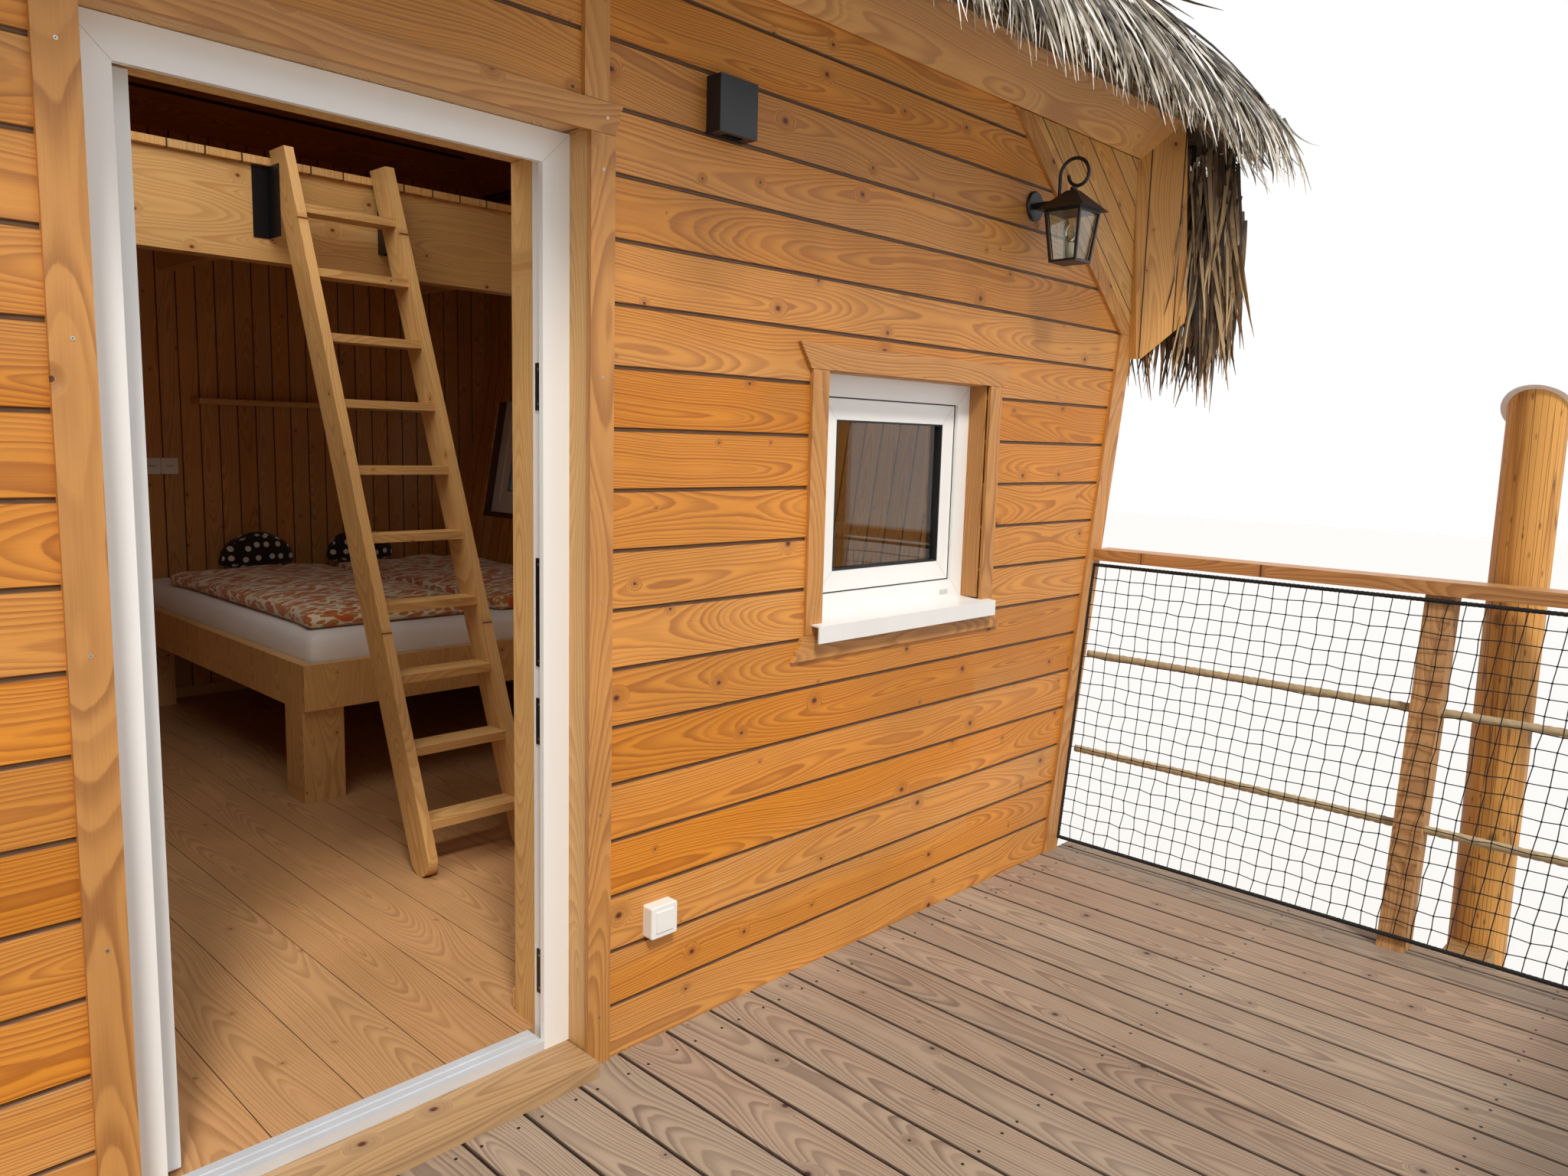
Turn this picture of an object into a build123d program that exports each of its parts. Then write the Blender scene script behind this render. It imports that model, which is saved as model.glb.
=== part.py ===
"""Timber tree house on logs: a cabin with outward-leaning side walls and a hipped roof
thatched with palm leaves, a front deck with net railings, and the furnished room inside.

Millimetres. X runs along the front wall, Y into the cabin, Z up from the ground.
The origin is on the ground under the middle of the whole tree house.
"""
import os
from math import cos, radians, sin, tan

from build123d import *

os.makedirs("parts", exist_ok=True)

# Levels, above the ground or, where named rise, above the deck
deck_height = 2200
floor_rise = 63
knee_rise = 1918             # the side walls lean up to here and stand upright above it
eave_rise = 2546             # lower edge of the front eave board
side_eave_rise = 1832        # lower edge of the side eave board
loft_rise = 2444             # top of the loft floor

# Plan
base_half_width = 2270       # outer face of a side wall at deck level
wall_lean_deg = 9.9
cabin_depth = 4400
deck_depth = 2410
deck_overhang = 120          # deck past the side walls
wall_thickness = 180
facade_thickness = 230       # the front wall, with its service layer

# Roof and thatch
roof_slope_deg = 38.75
eave_board_width = 182
eave_board_thickness = 28
skirt_lean = 35              # the side skirt stands out this much more at its foot
return_thickness = 13
roof_thickness = 60
thatch_thickness = 190
thatch_reach = 320           # thatch past the top edge of the eave board
thatch_shoulder = 60         # outer curve of the thatch ends this far below that edge
thatch_tip_drop = 260
thatch_tip_thickness = 60
side_thatch_drop = 980       # tips of the leaves that hang down the skirt
side_thatch_depth = 165
ridge_cap_width = 620
ridge_cap_thickness = 60
ridge_cap_overhang = 180

# Trim boards
trim_width = 64
trim_thickness = 15
trim_lap = 6                 # a head board comes this far over its opening
corner_board_width = 92
corner_board_proud = 22      # the corner board stands out past the side wall

# Door
door_centre_x = -333
door_clear_width = 815
door_clear_top = 2070        # above the deck
door_frame_width = 70
door_frame_depth = 70
door_recess = 70             # the frame's face behind the cladding
door_stop_depth = 15
door_rebate = 20
door_leaf_thickness = 50
door_gap = 5                 # round the closed leaf
door_free_gap = 9            # at the leaf's free edge, which swings on an arc
door_foot_gap = 7
hinge_setback = 15           # hinge axis in front of the leaf's room face
hinge_diameter = 14
hinge_height = 90
hinge_plate = 4
reveal_thickness = 10
sill_thickness = 40
sill_projection = 60
threshold_height = 23
groove_depth = 5
groove_width = 8
lining_thickness = 56.5
hinge_lining_thickness = 36
lining_head_gap = 25         # lining above the clear opening
header_height = 65
header_flare = 20
upper_trim_shift = 17        # boards above the header stand this much closer together

# Windows
window_width = 774
window_height = 700
window_rise = 990
window_centre_x = 1309
side_window_from_back = 625  # window's middle from the back wall's room face
window_recess = 60
window_frame_face = 70
window_frame_depth = 70
window_sash_face = 64
window_sash_depth = 50
window_sash_recess = 12
glass_thickness = 24
window_sill_length = 860
window_sill_projection = 45
window_sill_fall = 9
window_sill_lip = 48
window_sill_sheet = 4
window_head_height = 67
window_foot_height = 69
window_foot_drop = 23        # foot board's top below the opening
window_flare = 45

# Deck, railing and logs
deck_board_thickness = 28
deck_end_gap = 5
joist_height = 200
joist_width = 60
joist_inset = 20
deck_joist_rows = 4
cabin_joist_rows = 7
bearer_height = 200
bearer_width = 120
bearer_inset = 60
log_spacing = 1950
log_diameter = 220
log_inset = 260
deck_log_diameter = 160
deck_log_rise = 1704
deck_log_clearance = 190
deck_log_from_wall = 1318
log_cut_deg = 38
log_seat = 45
cap_thickness = 3
cap_overhang = 18
rail_rise = 1125
rail_width = 110
rail_thickness = 42
railing_post = 80
railing_lean_deg = 8
post_edge = 16               # foot of a post from the deck's edge
side_bay = 1160
gate_width = 1476            # clear way between the two middle posts
net_pitch = 145
net_cord = 5
net_rope_diameter = 14
net_low_rise = 45
net_high_rise = 1066
hemp_diameter = 28
hemp_rises = (370, 728)

# Room
loft_front = 2202            # front face of the loft beam, from the front wall's face
loft_board_thickness = 28
loft_board_overhang = 25
loft_beam_height = 330
loft_beam_thickness = 90
loft_joist_height = 160
loft_joist_width = 60
loft_joist_count = 4
ladder_left_x = 340
ladder_width = 408
ladder_lean_deg = 22
ladder_top_rise = 2470
stringer_depth = 118
stringer_thickness = 34
tread_depth = 100
tread_thickness = 28
tread_pitch = 225.7
tread_count = 10
first_tread_rise = 225
bracket_height = 250
bracket_width = 58
bracket_thickness = 4
bed_left_x = 363
bed_front = 2085             # from the front wall's face
bed_rail_rise = 604
bed_rail_height = 177
bed_rail_thickness = 45
bed_leg = 160
bed_base_thickness = 18
mattress_rise = 715
mattress_thickness = 180
mattress_corner = 30
duvet_thickness = 75
duvet_corner = 32
duvet_head_gap = 330         # bare mattress at the head of the bed
cushion_spots = (911, 1470)
cushion_width = 380
cushion_height = 190
cushion_depth = 120
cushion_from_head = 150
stalk_width = 150
stalk_height = 45
shelf_left_x = 698
shelf_length = 1229
shelf_rise = 1627
shelf_depth = 150
shelf_thickness = 28

# Fittings on the front wall
lamp_x = 534
lamp_rise = 2262
lamp_width = 121
lamp_height = 127
lamp_depth = 52
lamp_outlet = (60, 26, 6)    # width, depth and corner radius of a light outlet
lamp_recess = 12
switch_x = 352
switch_rise = 315
switch_size = 82
switch_depth = 40
switch_corner = 6
rocker_size = 52
rocker_rise = 3
lantern_from_corner = 365    # lantern's middle from the foot of the side wall
lantern_rise = 2270
lantern_plate_diameter = 95
lantern_plate_thickness = 14
lantern_reach = 145
lantern_roof_width = 165
lantern_roof_height = 62
lantern_body_height = 160
lantern_body_top = 128
lantern_body_foot = 96
lantern_crown_width = 33
lantern_bar = 8
lantern_glass_thickness = 3
finial_height = 11
scroll_diameter = 11
scroll_radius = 50
curl_radius = 35

# Door leaf
hinge_rises = (180, 1010, 1840)
leaf_near = 2                # leaf's hinge edge past the axis
panel_margin = 130
panel_depth = 6
panel_rail_rise = 980
handle_rise = 1030
handle_plate = (38, 220, 9)  # width, height and thickness
handle_from_edge = 62
handle_lever = 118
handle_bar = 16
handle_standoff = 44

# Clearances
touch = 0.3
joint_gap = 1

# Places worked out from the sizes
slope = tan(radians(roof_slope_deg))
slope_in, slope_up = cos(radians(roof_slope_deg)), sin(radians(roof_slope_deg))
lean = tan(radians(wall_lean_deg))
eave_out = eave_board_width * slope_up
eave_up = eave_board_width * slope_in
board_in = eave_board_thickness * slope_in
board_up = eave_board_thickness * slope_up
eave_gap = board_in + touch
post_reach = rail_rise - rail_thickness
railing_lean = tan(radians(railing_lean_deg))
post_foot = post_edge + railing_post / 2
front_reach = deck_depth - post_foot + railing_lean * post_reach + rail_width / 2
back_reach = cabin_depth + eave_gap + eave_out + thatch_reach
wall_y = (front_reach - back_reach) / 2
back_y = wall_y + cabin_depth
middle_y = wall_y + cabin_depth / 2
deck_z = deck_height
floor_z = deck_z + floor_rise
joist_top = deck_z - deck_board_thickness
bearer_top = joist_top - joist_height
log_top = bearer_top - bearer_height
knee_z = deck_z + knee_rise
eave_low_z = deck_z + eave_rise
eave_z = eave_low_z + eave_up
side_low_z = deck_z + side_eave_rise
side_top_z = side_low_z + eave_up
knee_half_width = base_half_width + lean * knee_rise
deck_half_width = base_half_width + deck_overhang
lantern_x = base_half_width - lantern_from_corner
lean_thickness = wall_thickness / cos(radians(wall_lean_deg))
side_low_x = base_half_width + lean * (side_eave_rise + board_up) + board_in + touch
hip_x = side_low_x - skirt_lean
eave_x = hip_x + eave_out
eave_y = wall_y - eave_gap - eave_out
roof_half_depth = middle_y - eave_y
ridge_z = eave_z + roof_half_depth * slope
ridge_half_length = eave_x - roof_half_depth
roof_rise = roof_thickness / slope_in
thatch_rise = thatch_thickness / slope_in
room_front_y = wall_y + facade_thickness
room_back_y = back_y - wall_thickness
deck_front_y = wall_y - deck_depth
door_half = door_clear_width / 2
frame_half = door_half + door_frame_width
doorway_half = frame_half + reveal_thickness
doorway_left_x = door_centre_x - doorway_half
doorway_right_x = door_centre_x + doorway_half
clear_top_z = deck_z + door_clear_top
frame_top_z = clear_top_z + door_frame_width
doorway_top_z = frame_top_z + reveal_thickness
sill_z = deck_z + sill_thickness
frame_y = wall_y + door_recess
frame_back_y = frame_y + door_frame_depth
trim_inner_half = doorway_half - trim_thickness
trim_y = wall_y - trim_thickness
window_z = deck_z + window_rise
window_top_z = window_z + window_height
window_left_x = window_centre_x - window_width / 2
window_right_x = window_centre_x + window_width / 2


def out_x(z):
    """Outer face of a side wall: leaning up to the knee, upright above it."""
    return base_half_width + lean * (min(z, knee_z) - deck_z)


def inner_x(z):
    """Room face of a side wall."""
    return out_x(z) - lean_thickness


def block(x, y, z, mode=Mode.ADD):
    """A box from its low and high X, Y and Z."""
    with BuildSketch(Plane.XY.offset(z[0])) as profile:
        with Locations(((x[0] + x[1]) / 2, (y[0] + y[1]) / 2)):
            Rectangle(x[1] - x[0], y[1] - y[0])
    extrude(profile.sketch, amount=z[1] - z[0], mode=mode)


def plate_xz(points, y, thickness):
    """A plate parallel to the front wall, from y back to y + thickness."""
    with BuildSketch(Plane.XZ.offset(-y)) as profile:
        with BuildLine():
            Polyline(*points, close=True)
        make_face()
    extrude(profile.sketch, amount=-thickness)


def plate_yz(points, x, thickness):
    """A plate square to the front wall, from x to x + thickness."""
    with BuildSketch(Plane.YZ.offset(x)) as profile:
        with BuildLine():
            Polyline(*points, close=True)
        make_face()
    extrude(profile.sketch, amount=thickness)


def facing_front(x, y, z):
    """A sketch plane parallel to the front wall that looks out of it."""
    return Plane(origin=(x, y, z), x_dir=(1, 0, 0), z_dir=(0, -1, 0))


def upright(x_low, x_high, z_low, z_high):
    """Corners of an upright rectangle."""
    return [(x_low, z_low), (x_high, z_low), (x_high, z_high), (x_low, z_high)]


def roof_plane(side, drop=0):
    """Underside of a roof slope, its normal pointing up and out."""
    z = eave_z - drop
    if side == "front":
        return Plane(origin=(0, eave_y, z), z_dir=(0, -slope_up, slope_in))
    if side == "back":
        return Plane(origin=(0, 2 * middle_y - eave_y, z), z_dir=(0, slope_up, slope_in))
    direction = 1 if side == "right" else -1
    return Plane(origin=(direction * eave_x, middle_y, z), z_dir=(direction * slope_up, 0, slope_in))


def cut_under_roof():
    """Bevel the tops of walls and boards to the slopes that lie on them."""
    for side in ("front", "back", "left", "right"):
        split(bisect_by=roof_plane(side, drop=touch), keep=Keep.BOTTOM)


def hip_plane(x_side, y_side, gap=0):
    """Upright plane through a roof corner at 45 degrees, its normal towards the roof's side."""
    corner_y = middle_y + y_side * roof_half_depth
    plane = Plane(origin=(x_side * eave_x, corner_y, 0), z_dir=(x_side, -y_side, 0))
    return plane.offset(gap)


def keep_front_slope():
    """Keep what lies between the two front hips and in front of the ridge."""
    for x_side in (-1, 1):
        split(bisect_by=hip_plane(x_side, -1, -joint_gap / 2), keep=Keep.BOTTOM)
    split(bisect_by=Plane.XZ.offset(joint_gap / 2 - middle_y), keep=Keep.TOP)


def keep_right_slope(gap=joint_gap / 2):
    """Keep what lies between the two right hips."""
    for y_side in (-1, 1):
        split(bisect_by=hip_plane(1, y_side, gap), keep=Keep.TOP)


def mirror_to_back():
    mirror(about=Plane.XZ.offset(-middle_y))


def mirror_to_left():
    mirror(about=Plane.YZ)


def finish(part, name):
    """Name a finished piece and write it."""
    part.part.label = name
    export_step(part.part, f"parts/{name}.step")


# Logs under the cabin and the deck, with bearers from front to back on them
log_rows_x = (-log_spacing, 0, log_spacing)
log_rows_y = (deck_front_y + log_inset, wall_y + log_inset, middle_y, back_y - log_inset)
with BuildPart() as support_logs:
    with BuildSketch():
        with Locations(*[(x, y) for x in log_rows_x for y in log_rows_y]):
            Circle(log_diameter / 2)
    extrude(amount=log_top)
finish(support_logs, "support_logs")

bearer_y = (deck_front_y + bearer_inset, back_y - bearer_inset)
with BuildPart() as bearers:
    for x in log_rows_x:
        block((x - bearer_width / 2, x + bearer_width / 2), bearer_y, (log_top, bearer_top))
finish(bearers, "bearers")

# Joists lie across the bearers; the double one reaches out into the tall logs
deck_log_x = deck_half_width + deck_log_clearance + deck_log_diameter / 2
deck_log_y = wall_y - deck_log_from_wall
log_beam_half = deck_log_x - deck_log_diameter / 2 + log_seat
with BuildPart() as joists:
    first = bearer_y[0] + joist_width / 2
    step = (wall_y - joist_width - first) / (deck_joist_rows - 0.5)
    deck_rows = [first + row * step for row in range(deck_joist_rows)]
    first = wall_y + facade_thickness / 2
    step = (back_y - wall_thickness / 2 - first) / (cabin_joist_rows - 1)
    cabin_rows = [first + row * step for row in range(cabin_joist_rows)]
    for y in deck_rows + cabin_rows:
        half = (deck_half_width if y < wall_y else out_x(joist_top)) - joist_inset
        block((-half, half), (y - joist_width / 2, y + joist_width / 2), (bearer_top, joist_top))
    block(
        (-log_beam_half, log_beam_half),
        (deck_log_y - joist_width, deck_log_y + joist_width),
        (bearer_top, joist_top),
    )
finish(joists, "joists")

# Tall peeled logs beside the deck, cut off at a slant and housed for the beam
log_top_z = deck_z + deck_log_rise
log_cut_drop = deck_log_diameter * tan(radians(log_cut_deg))
log_cut = Plane(
    origin=(deck_log_x, deck_log_y, log_top_z - log_cut_drop / 2),
    z_dir=(sin(radians(log_cut_deg)), 0, cos(radians(log_cut_deg))),
)
with BuildPart() as deck_logs:
    with BuildSketch():
        with Locations((deck_log_x, deck_log_y)):
            Circle(deck_log_diameter / 2)
    extrude(amount=log_top_z)
    split(bisect_by=log_cut, keep=Keep.BOTTOM)
    block(
        (deck_log_x - deck_log_diameter, log_beam_half + touch),
        (deck_log_y - joist_width - touch, deck_log_y + joist_width + touch),
        (bearer_top - touch, joist_top + touch),
        mode=Mode.SUBTRACT,
    )
    mirror_to_left()
finish(deck_logs, "deck_logs")

with BuildPart() as log_caps:
    log_radius = deck_log_diameter / 2
    with BuildSketch(Plane(origin=log_cut.origin, x_dir=(0, 1, 0), z_dir=log_cut.z_dir).offset(touch)):
        Ellipse(log_radius + cap_overhang, log_radius / cos(radians(log_cut_deg)) + cap_overhang)
    extrude(amount=cap_thickness)
    mirror_to_left()
finish(log_caps, "log_caps")

with BuildPart() as deck:
    block(
        (-deck_half_width, deck_half_width),
        (deck_front_y, wall_y - deck_end_gap),
        (joist_top, deck_z),
    )
finish(deck, "deck")

# Cabin floor, with a tongue that runs into the doorway up to the door frame
with BuildPart() as cabin_floor:
    low_half, high_half = inner_x(joist_top) - touch, inner_x(floor_z) - touch
    plate_xz(
        [(-low_half, joist_top), (low_half, joist_top), (high_half, floor_z), (-high_half, floor_z)],
        room_front_y + touch,
        room_back_y - room_front_y - 2 * touch,
    )
    doorway_x = (doorway_left_x + touch, doorway_right_x - touch)
    block(doorway_x, (wall_y, room_front_y + joint_gap), (joist_top, deck_z - touch))
    block(doorway_x, (frame_back_y + touch, room_front_y + joint_gap), (joist_top, floor_z))
finish(cabin_floor, "cabin_floor")


def wall_edge(side):
    """Outer edge of the front and back walls, from the foot up."""
    return [
        (side * out_x(joist_top), joist_top),
        (side * knee_half_width, knee_z),
        (side * knee_half_width, ridge_z),
    ]


def front_panel(name, points):
    """One panel of the front wall, beside, over or under its openings."""
    with BuildPart() as panel:
        plate_xz(points, wall_y, facade_thickness)
        cut_under_roof()
    finish(panel, name)


front_panel("front_wall_left", [(doorway_left_x, ridge_z), (doorway_left_x, joist_top)] + wall_edge(-1))
front_panel("front_wall_right", [(window_right_x, ridge_z), (window_right_x, joist_top)] + wall_edge(1))
front_panel("front_wall_middle", upright(doorway_right_x, window_left_x, joist_top, ridge_z))
front_panel("front_wall_over_door", upright(doorway_left_x, doorway_right_x, doorway_top_z, ridge_z))
front_panel("front_wall_over_window", upright(window_left_x, window_right_x, window_top_z, ridge_z))
front_panel("front_wall_under_window", upright(window_left_x, window_right_x, joist_top, window_z))

with BuildPart() as back_wall:
    plate_xz(wall_edge(-1) + wall_edge(1)[::-1], room_back_y, wall_thickness)
    cut_under_roof()
finish(back_wall, "back_wall")


def side_window_plane(side):
    """Outer face of a leaning wall, with its origin under the middle of the window."""
    normal = (side * cos(radians(wall_lean_deg)), 0, -sin(radians(wall_lean_deg)))
    place = (side * out_x(window_z), room_back_y - side_window_from_back, window_z)
    return Plane(origin=place, x_dir=(0, side, 0), z_dir=normal)


# Window places: X along the wall, Y up it, Z out of it, with the origin under the opening
window_planes = (
    facing_front(window_centre_x, wall_y, window_z),
    side_window_plane(1),
    side_window_plane(-1),
)

for side, name in ((-1, "left_wall"), (1, "right_wall")):
    with BuildPart() as side_wall:
        inner_edge = [(x - side * lean_thickness, z) for x, z in wall_edge(side)]
        plate_xz(
            wall_edge(side) + inner_edge[::-1],
            room_front_y + touch,
            room_back_y - room_front_y - 2 * touch,
        )
        cut_under_roof()
        with BuildSketch(side_window_plane(side)):
            with Locations((0, window_height / 2)):
                Rectangle(window_width, window_height)
        extrude(amount=-2 * wall_thickness, mode=Mode.SUBTRACT)
    finish(side_wall, name)


def corner_x(z):
    """Outer edge of a corner board."""
    return base_half_width + corner_board_proud + lean * (z - deck_z)


# Boards on the front and back walls: up the leaning corners, then inwards under the eave
line_foot_x = corner_x(knee_z) - corner_board_width
line_run = (eave_low_z - knee_z) / slope
line_lift = trim_width / slope_in
line_edge_z = knee_z + line_lift - slope * (knee_half_width - line_foot_x)
board_foot = deck_z + touch
board_edge_x = knee_half_width - touch
with BuildPart() as corner_boards:
    plate_xz(
        [
            (corner_x(board_foot) - corner_board_width, board_foot),
            (corner_x(board_foot), board_foot),
            (corner_x(side_low_z - joint_gap), side_low_z - joint_gap),
            (board_edge_x, side_low_z - joint_gap),
            (board_edge_x, knee_z - joint_gap),
            (line_foot_x, knee_z - joint_gap),
        ],
        trim_y,
        trim_thickness - touch,
    )
    plate_xz(
        [
            (line_foot_x, knee_z),
            (board_edge_x, knee_z),
            (board_edge_x, line_edge_z),
            (line_foot_x - line_run + line_lift / slope, eave_low_z - touch),
            (line_foot_x - line_run, eave_low_z - touch),
        ],
        trim_y,
        trim_thickness - touch,
    )
    mirror_to_left()
    mirror_to_back()
finish(corner_boards, "corner_boards")

with BuildPart() as gable_panels:
    plate_xz(
        [
            (board_edge_x, line_edge_z + joint_gap),
            (board_edge_x, eave_low_z - touch),
            (line_foot_x - line_run + (line_lift + joint_gap) / slope, eave_low_z - touch),
        ],
        trim_y,
        trim_thickness - touch,
    )
    mirror_to_left()
    mirror_to_back()
finish(gable_panels, "gable_panels")


def eave_section(low, z, direction):
    """Section of an eave board that leans out square to the roof slope."""
    return [
        (low, z),
        (low + direction * eave_out, z + eave_up),
        (low + direction * (eave_out - board_in), z + eave_up + board_up),
        (low - direction * board_in, z + board_up),
    ]


# Eave boards, mitred at the corners of the roof
side_hip_gap = eave_board_thickness + deck_end_gap
with BuildPart() as front_eave_boards:
    plate_yz(eave_section(wall_y - eave_gap, eave_low_z - touch, -1), -eave_x, 2 * eave_x)
    keep_front_slope()
    mirror_to_back()
finish(front_eave_boards, "front_eave_boards")

with BuildPart() as side_eave_boards:
    plate_xz(eave_section(side_low_x, side_low_z, 1), eave_y, 2 * roof_half_depth)
    keep_right_slope(side_hip_gap)
    mirror_to_left()
finish(side_eave_boards, "side_eave_boards")

# Skirts stand on the side eave boards and reach up under the roof
with BuildPart() as eave_skirts:
    skirt_foot_x = side_low_x + eave_out
    plate_xz(
        [
            (skirt_foot_x, side_top_z + touch),
            (eave_x, eave_z),
            (eave_x - board_in, eave_z + board_up),
            (skirt_foot_x - board_in, side_top_z + board_up + touch),
        ],
        eave_y,
        2 * roof_half_depth,
    )
    cut_under_roof()
    keep_right_slope(side_hip_gap)
    mirror_to_left()
finish(eave_skirts, "eave_skirts")

# Slanted corner panels close the eave between the front and side boards
skirt_plane = Plane(origin=(eave_x, 0, eave_z), z_dir=(eave_z - side_top_z, 0, skirt_lean))
side_board_plane = Plane(origin=(side_low_x, 0, side_low_z), z_dir=(slope_in, 0, -slope_up))
hip_length = 2 ** 0.5
with BuildPart() as hip_panels:
    with BuildSketch(
        Plane(origin=(hip_x + touch, wall_y - eave_gap, 0), x_dir=(1, -1, 0), z_dir=(-1, -1, 0))
    ):
        with BuildLine():
            Polyline(
                (0, eave_low_z),
                (-hip_length * board_in, eave_low_z + board_up),
                (hip_length * eave_out, eave_z + eave_board_width),
                (hip_length * (eave_out + skirt_lean), side_top_z),
                (hip_length * skirt_lean, side_low_z),
                close=True,
            )
        make_face()
    extrude(amount=-eave_board_thickness)
    split(bisect_by=skirt_plane, keep=Keep.BOTTOM)
    split(bisect_by=side_board_plane, keep=Keep.BOTTOM)
    cut_under_roof()
    plate_xz(
        [
            (side_low_x - touch, side_low_z),
            (hip_x - touch, eave_low_z - touch),
            (hip_x - return_thickness, eave_low_z - touch),
            (side_low_x - return_thickness, side_low_z),
        ],
        wall_y - eave_gap - skirt_lean,
        eave_gap + skirt_lean - trim_thickness - touch,
    )
    split(bisect_by=hip_plane(1, -1, touch), keep=Keep.TOP)
    split(bisect_by=Plane.XZ.offset(touch - trim_y), keep=Keep.TOP)
    mirror_to_left()
    mirror_to_back()
finish(hip_panels, "hip_panels")

# Roof slopes meet on the hips and the ridge
with BuildPart() as roof_slopes:
    plate_yz(
        [
            (eave_y, eave_z), (middle_y, ridge_z),
            (middle_y, ridge_z + roof_rise), (eave_y, eave_z + roof_rise),
        ],
        -eave_x,
        2 * eave_x,
    )
    keep_front_slope()
    mirror_to_back()
finish(roof_slopes, "roof_slopes")

with BuildPart() as roof_hips:
    plate_xz(
        [
            (eave_x, eave_z), (ridge_half_length, ridge_z),
            (ridge_half_length, ridge_z + roof_rise), (eave_x, eave_z + roof_rise),
        ],
        eave_y,
        2 * roof_half_depth,
    )
    keep_right_slope()
    mirror_to_left()
finish(roof_hips, "roof_hips")


def thatch_section():
    """Section of the thatch: even up the slope, rounded over the eave, with hanging tips."""
    run = roof_half_depth
    top = roof_rise + thatch_rise
    shoulder = (-thatch_thickness, top + thatch_thickness * slope)
    tip = (thatch_reach - thatch_tip_thickness / 4, -thatch_tip_drop)
    inner_tip = (tip[0] - thatch_tip_thickness, -thatch_tip_drop)
    eave_edge = (0, roof_rise + touch)
    with BuildLine() as outline:
        Polyline(eave_edge, (-run, roof_rise + run * slope + touch), (-run, top + run * slope), shoulder)
        TangentArc(shoulder, (thatch_reach, -thatch_shoulder), tangent=(slope_in, -slope_up))
        Polyline((thatch_reach, -thatch_shoulder), tip, inner_tip)
        ThreePointArc(inner_tip, (thatch_reach / 2, -thatch_shoulder / 2), eave_edge)
    return outline.line


with BuildPart() as thatch_slopes:
    thatch_half = eave_x + thatch_reach
    with BuildSketch(Plane(origin=(-thatch_half, eave_y, eave_z), x_dir=(0, -1, 0), z_dir=(-1, 0, 0))):
        make_face(thatch_section().edges())
    extrude(amount=-2 * thatch_half)
    keep_front_slope()
    mirror_to_back()
finish(thatch_slopes, "thatch_slopes")

side_section_plane = facing_front(eave_x, eave_y - thatch_reach, eave_z)
with BuildPart() as thatch_hips:
    with BuildSketch(side_section_plane):
        make_face(thatch_section().edges())
    extrude(amount=-2 * (roof_half_depth + thatch_reach))
    keep_right_slope()
    mirror_to_left()
finish(thatch_hips, "thatch_hips")

# Leaves that hang down the side skirts
with BuildPart() as hanging_thatch:
    skirt_drop = eave_z - side_top_z
    hang_foot = (side_thatch_depth, -side_thatch_drop)
    hang_head = (thatch_reach / 2, -thatch_tip_drop / 2)
    hang_belly = (side_thatch_depth + skirt_lean / 2, -skirt_drop / 2)
    with BuildSketch(side_section_plane):
        with BuildLine():
            Polyline(
                hang_head,
                (skirt_lean * thatch_shoulder / skirt_drop + touch, -thatch_shoulder),
                (skirt_lean + touch, -skirt_drop),
                (skirt_lean + touch, -side_thatch_drop),
                hang_foot,
            )
            ThreePointArc(hang_foot, hang_belly, hang_head)
        make_face()
    extrude(amount=-2 * (roof_half_depth + thatch_reach))
    keep_right_slope()
    mirror_to_left()
finish(hanging_thatch, "hanging_thatch")

# Ridge cap of bundled leaves
with BuildPart() as ridge_cap:
    cap_half = ridge_cap_width / 2
    cap_length = 2 * (ridge_half_length + ridge_cap_overhang)
    crest_z = ridge_z + roof_rise + thatch_rise + touch
    crown_z = crest_z + ridge_cap_thickness / slope_in
    with BuildSketch(Plane.YZ.offset(-cap_length / 2)):
        with BuildLine():
            Polyline(
                (middle_y - cap_half, crown_z - cap_half * slope),
                (middle_y - cap_half, crest_z - cap_half * slope),
                (middle_y, crest_z),
                (middle_y + cap_half, crest_z - cap_half * slope),
                (middle_y + cap_half, crown_z - cap_half * slope),
            )
            ThreePointArc(
                (middle_y + cap_half, crown_z - cap_half * slope),
                (middle_y, crown_z),
                (middle_y - cap_half, crown_z - cap_half * slope),
            )
        make_face()
    extrude(amount=cap_length)
finish(ridge_cap, "ridge_cap")

# Door sill, between the boards beside the doorway
with BuildPart() as door_sill:
    half = trim_inner_half - touch
    block(
        (door_centre_x - half, door_centre_x + half),
        (wall_y - sill_projection, frame_back_y),
        (deck_z + touch, sill_z),
    )
finish(door_sill, "door_sill")


def frame_arch(inner_half, inner_top, y):
    """Jambs and head of the door frame in one piece, from one depth to another."""
    outer_half, outer_top, foot = frame_half - touch, frame_top_z - touch, sill_z + touch
    plate_xz(
        [
            (door_centre_x - outer_half, foot), (door_centre_x - inner_half, foot),
            (door_centre_x - inner_half, inner_top), (door_centre_x + inner_half, inner_top),
            (door_centre_x + inner_half, foot), (door_centre_x + outer_half, foot),
            (door_centre_x + outer_half, outer_top), (door_centre_x - outer_half, outer_top),
        ],
        y[0],
        y[1] - y[0],
    )


with BuildPart() as door_frame:
    stop_y = frame_y + door_stop_depth
    frame_arch(door_half, clear_top_z, (frame_y, stop_y))
    frame_arch(door_half + door_rebate, clear_top_z + door_rebate, (stop_y, frame_back_y))
finish(door_frame, "door_frame")

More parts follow.
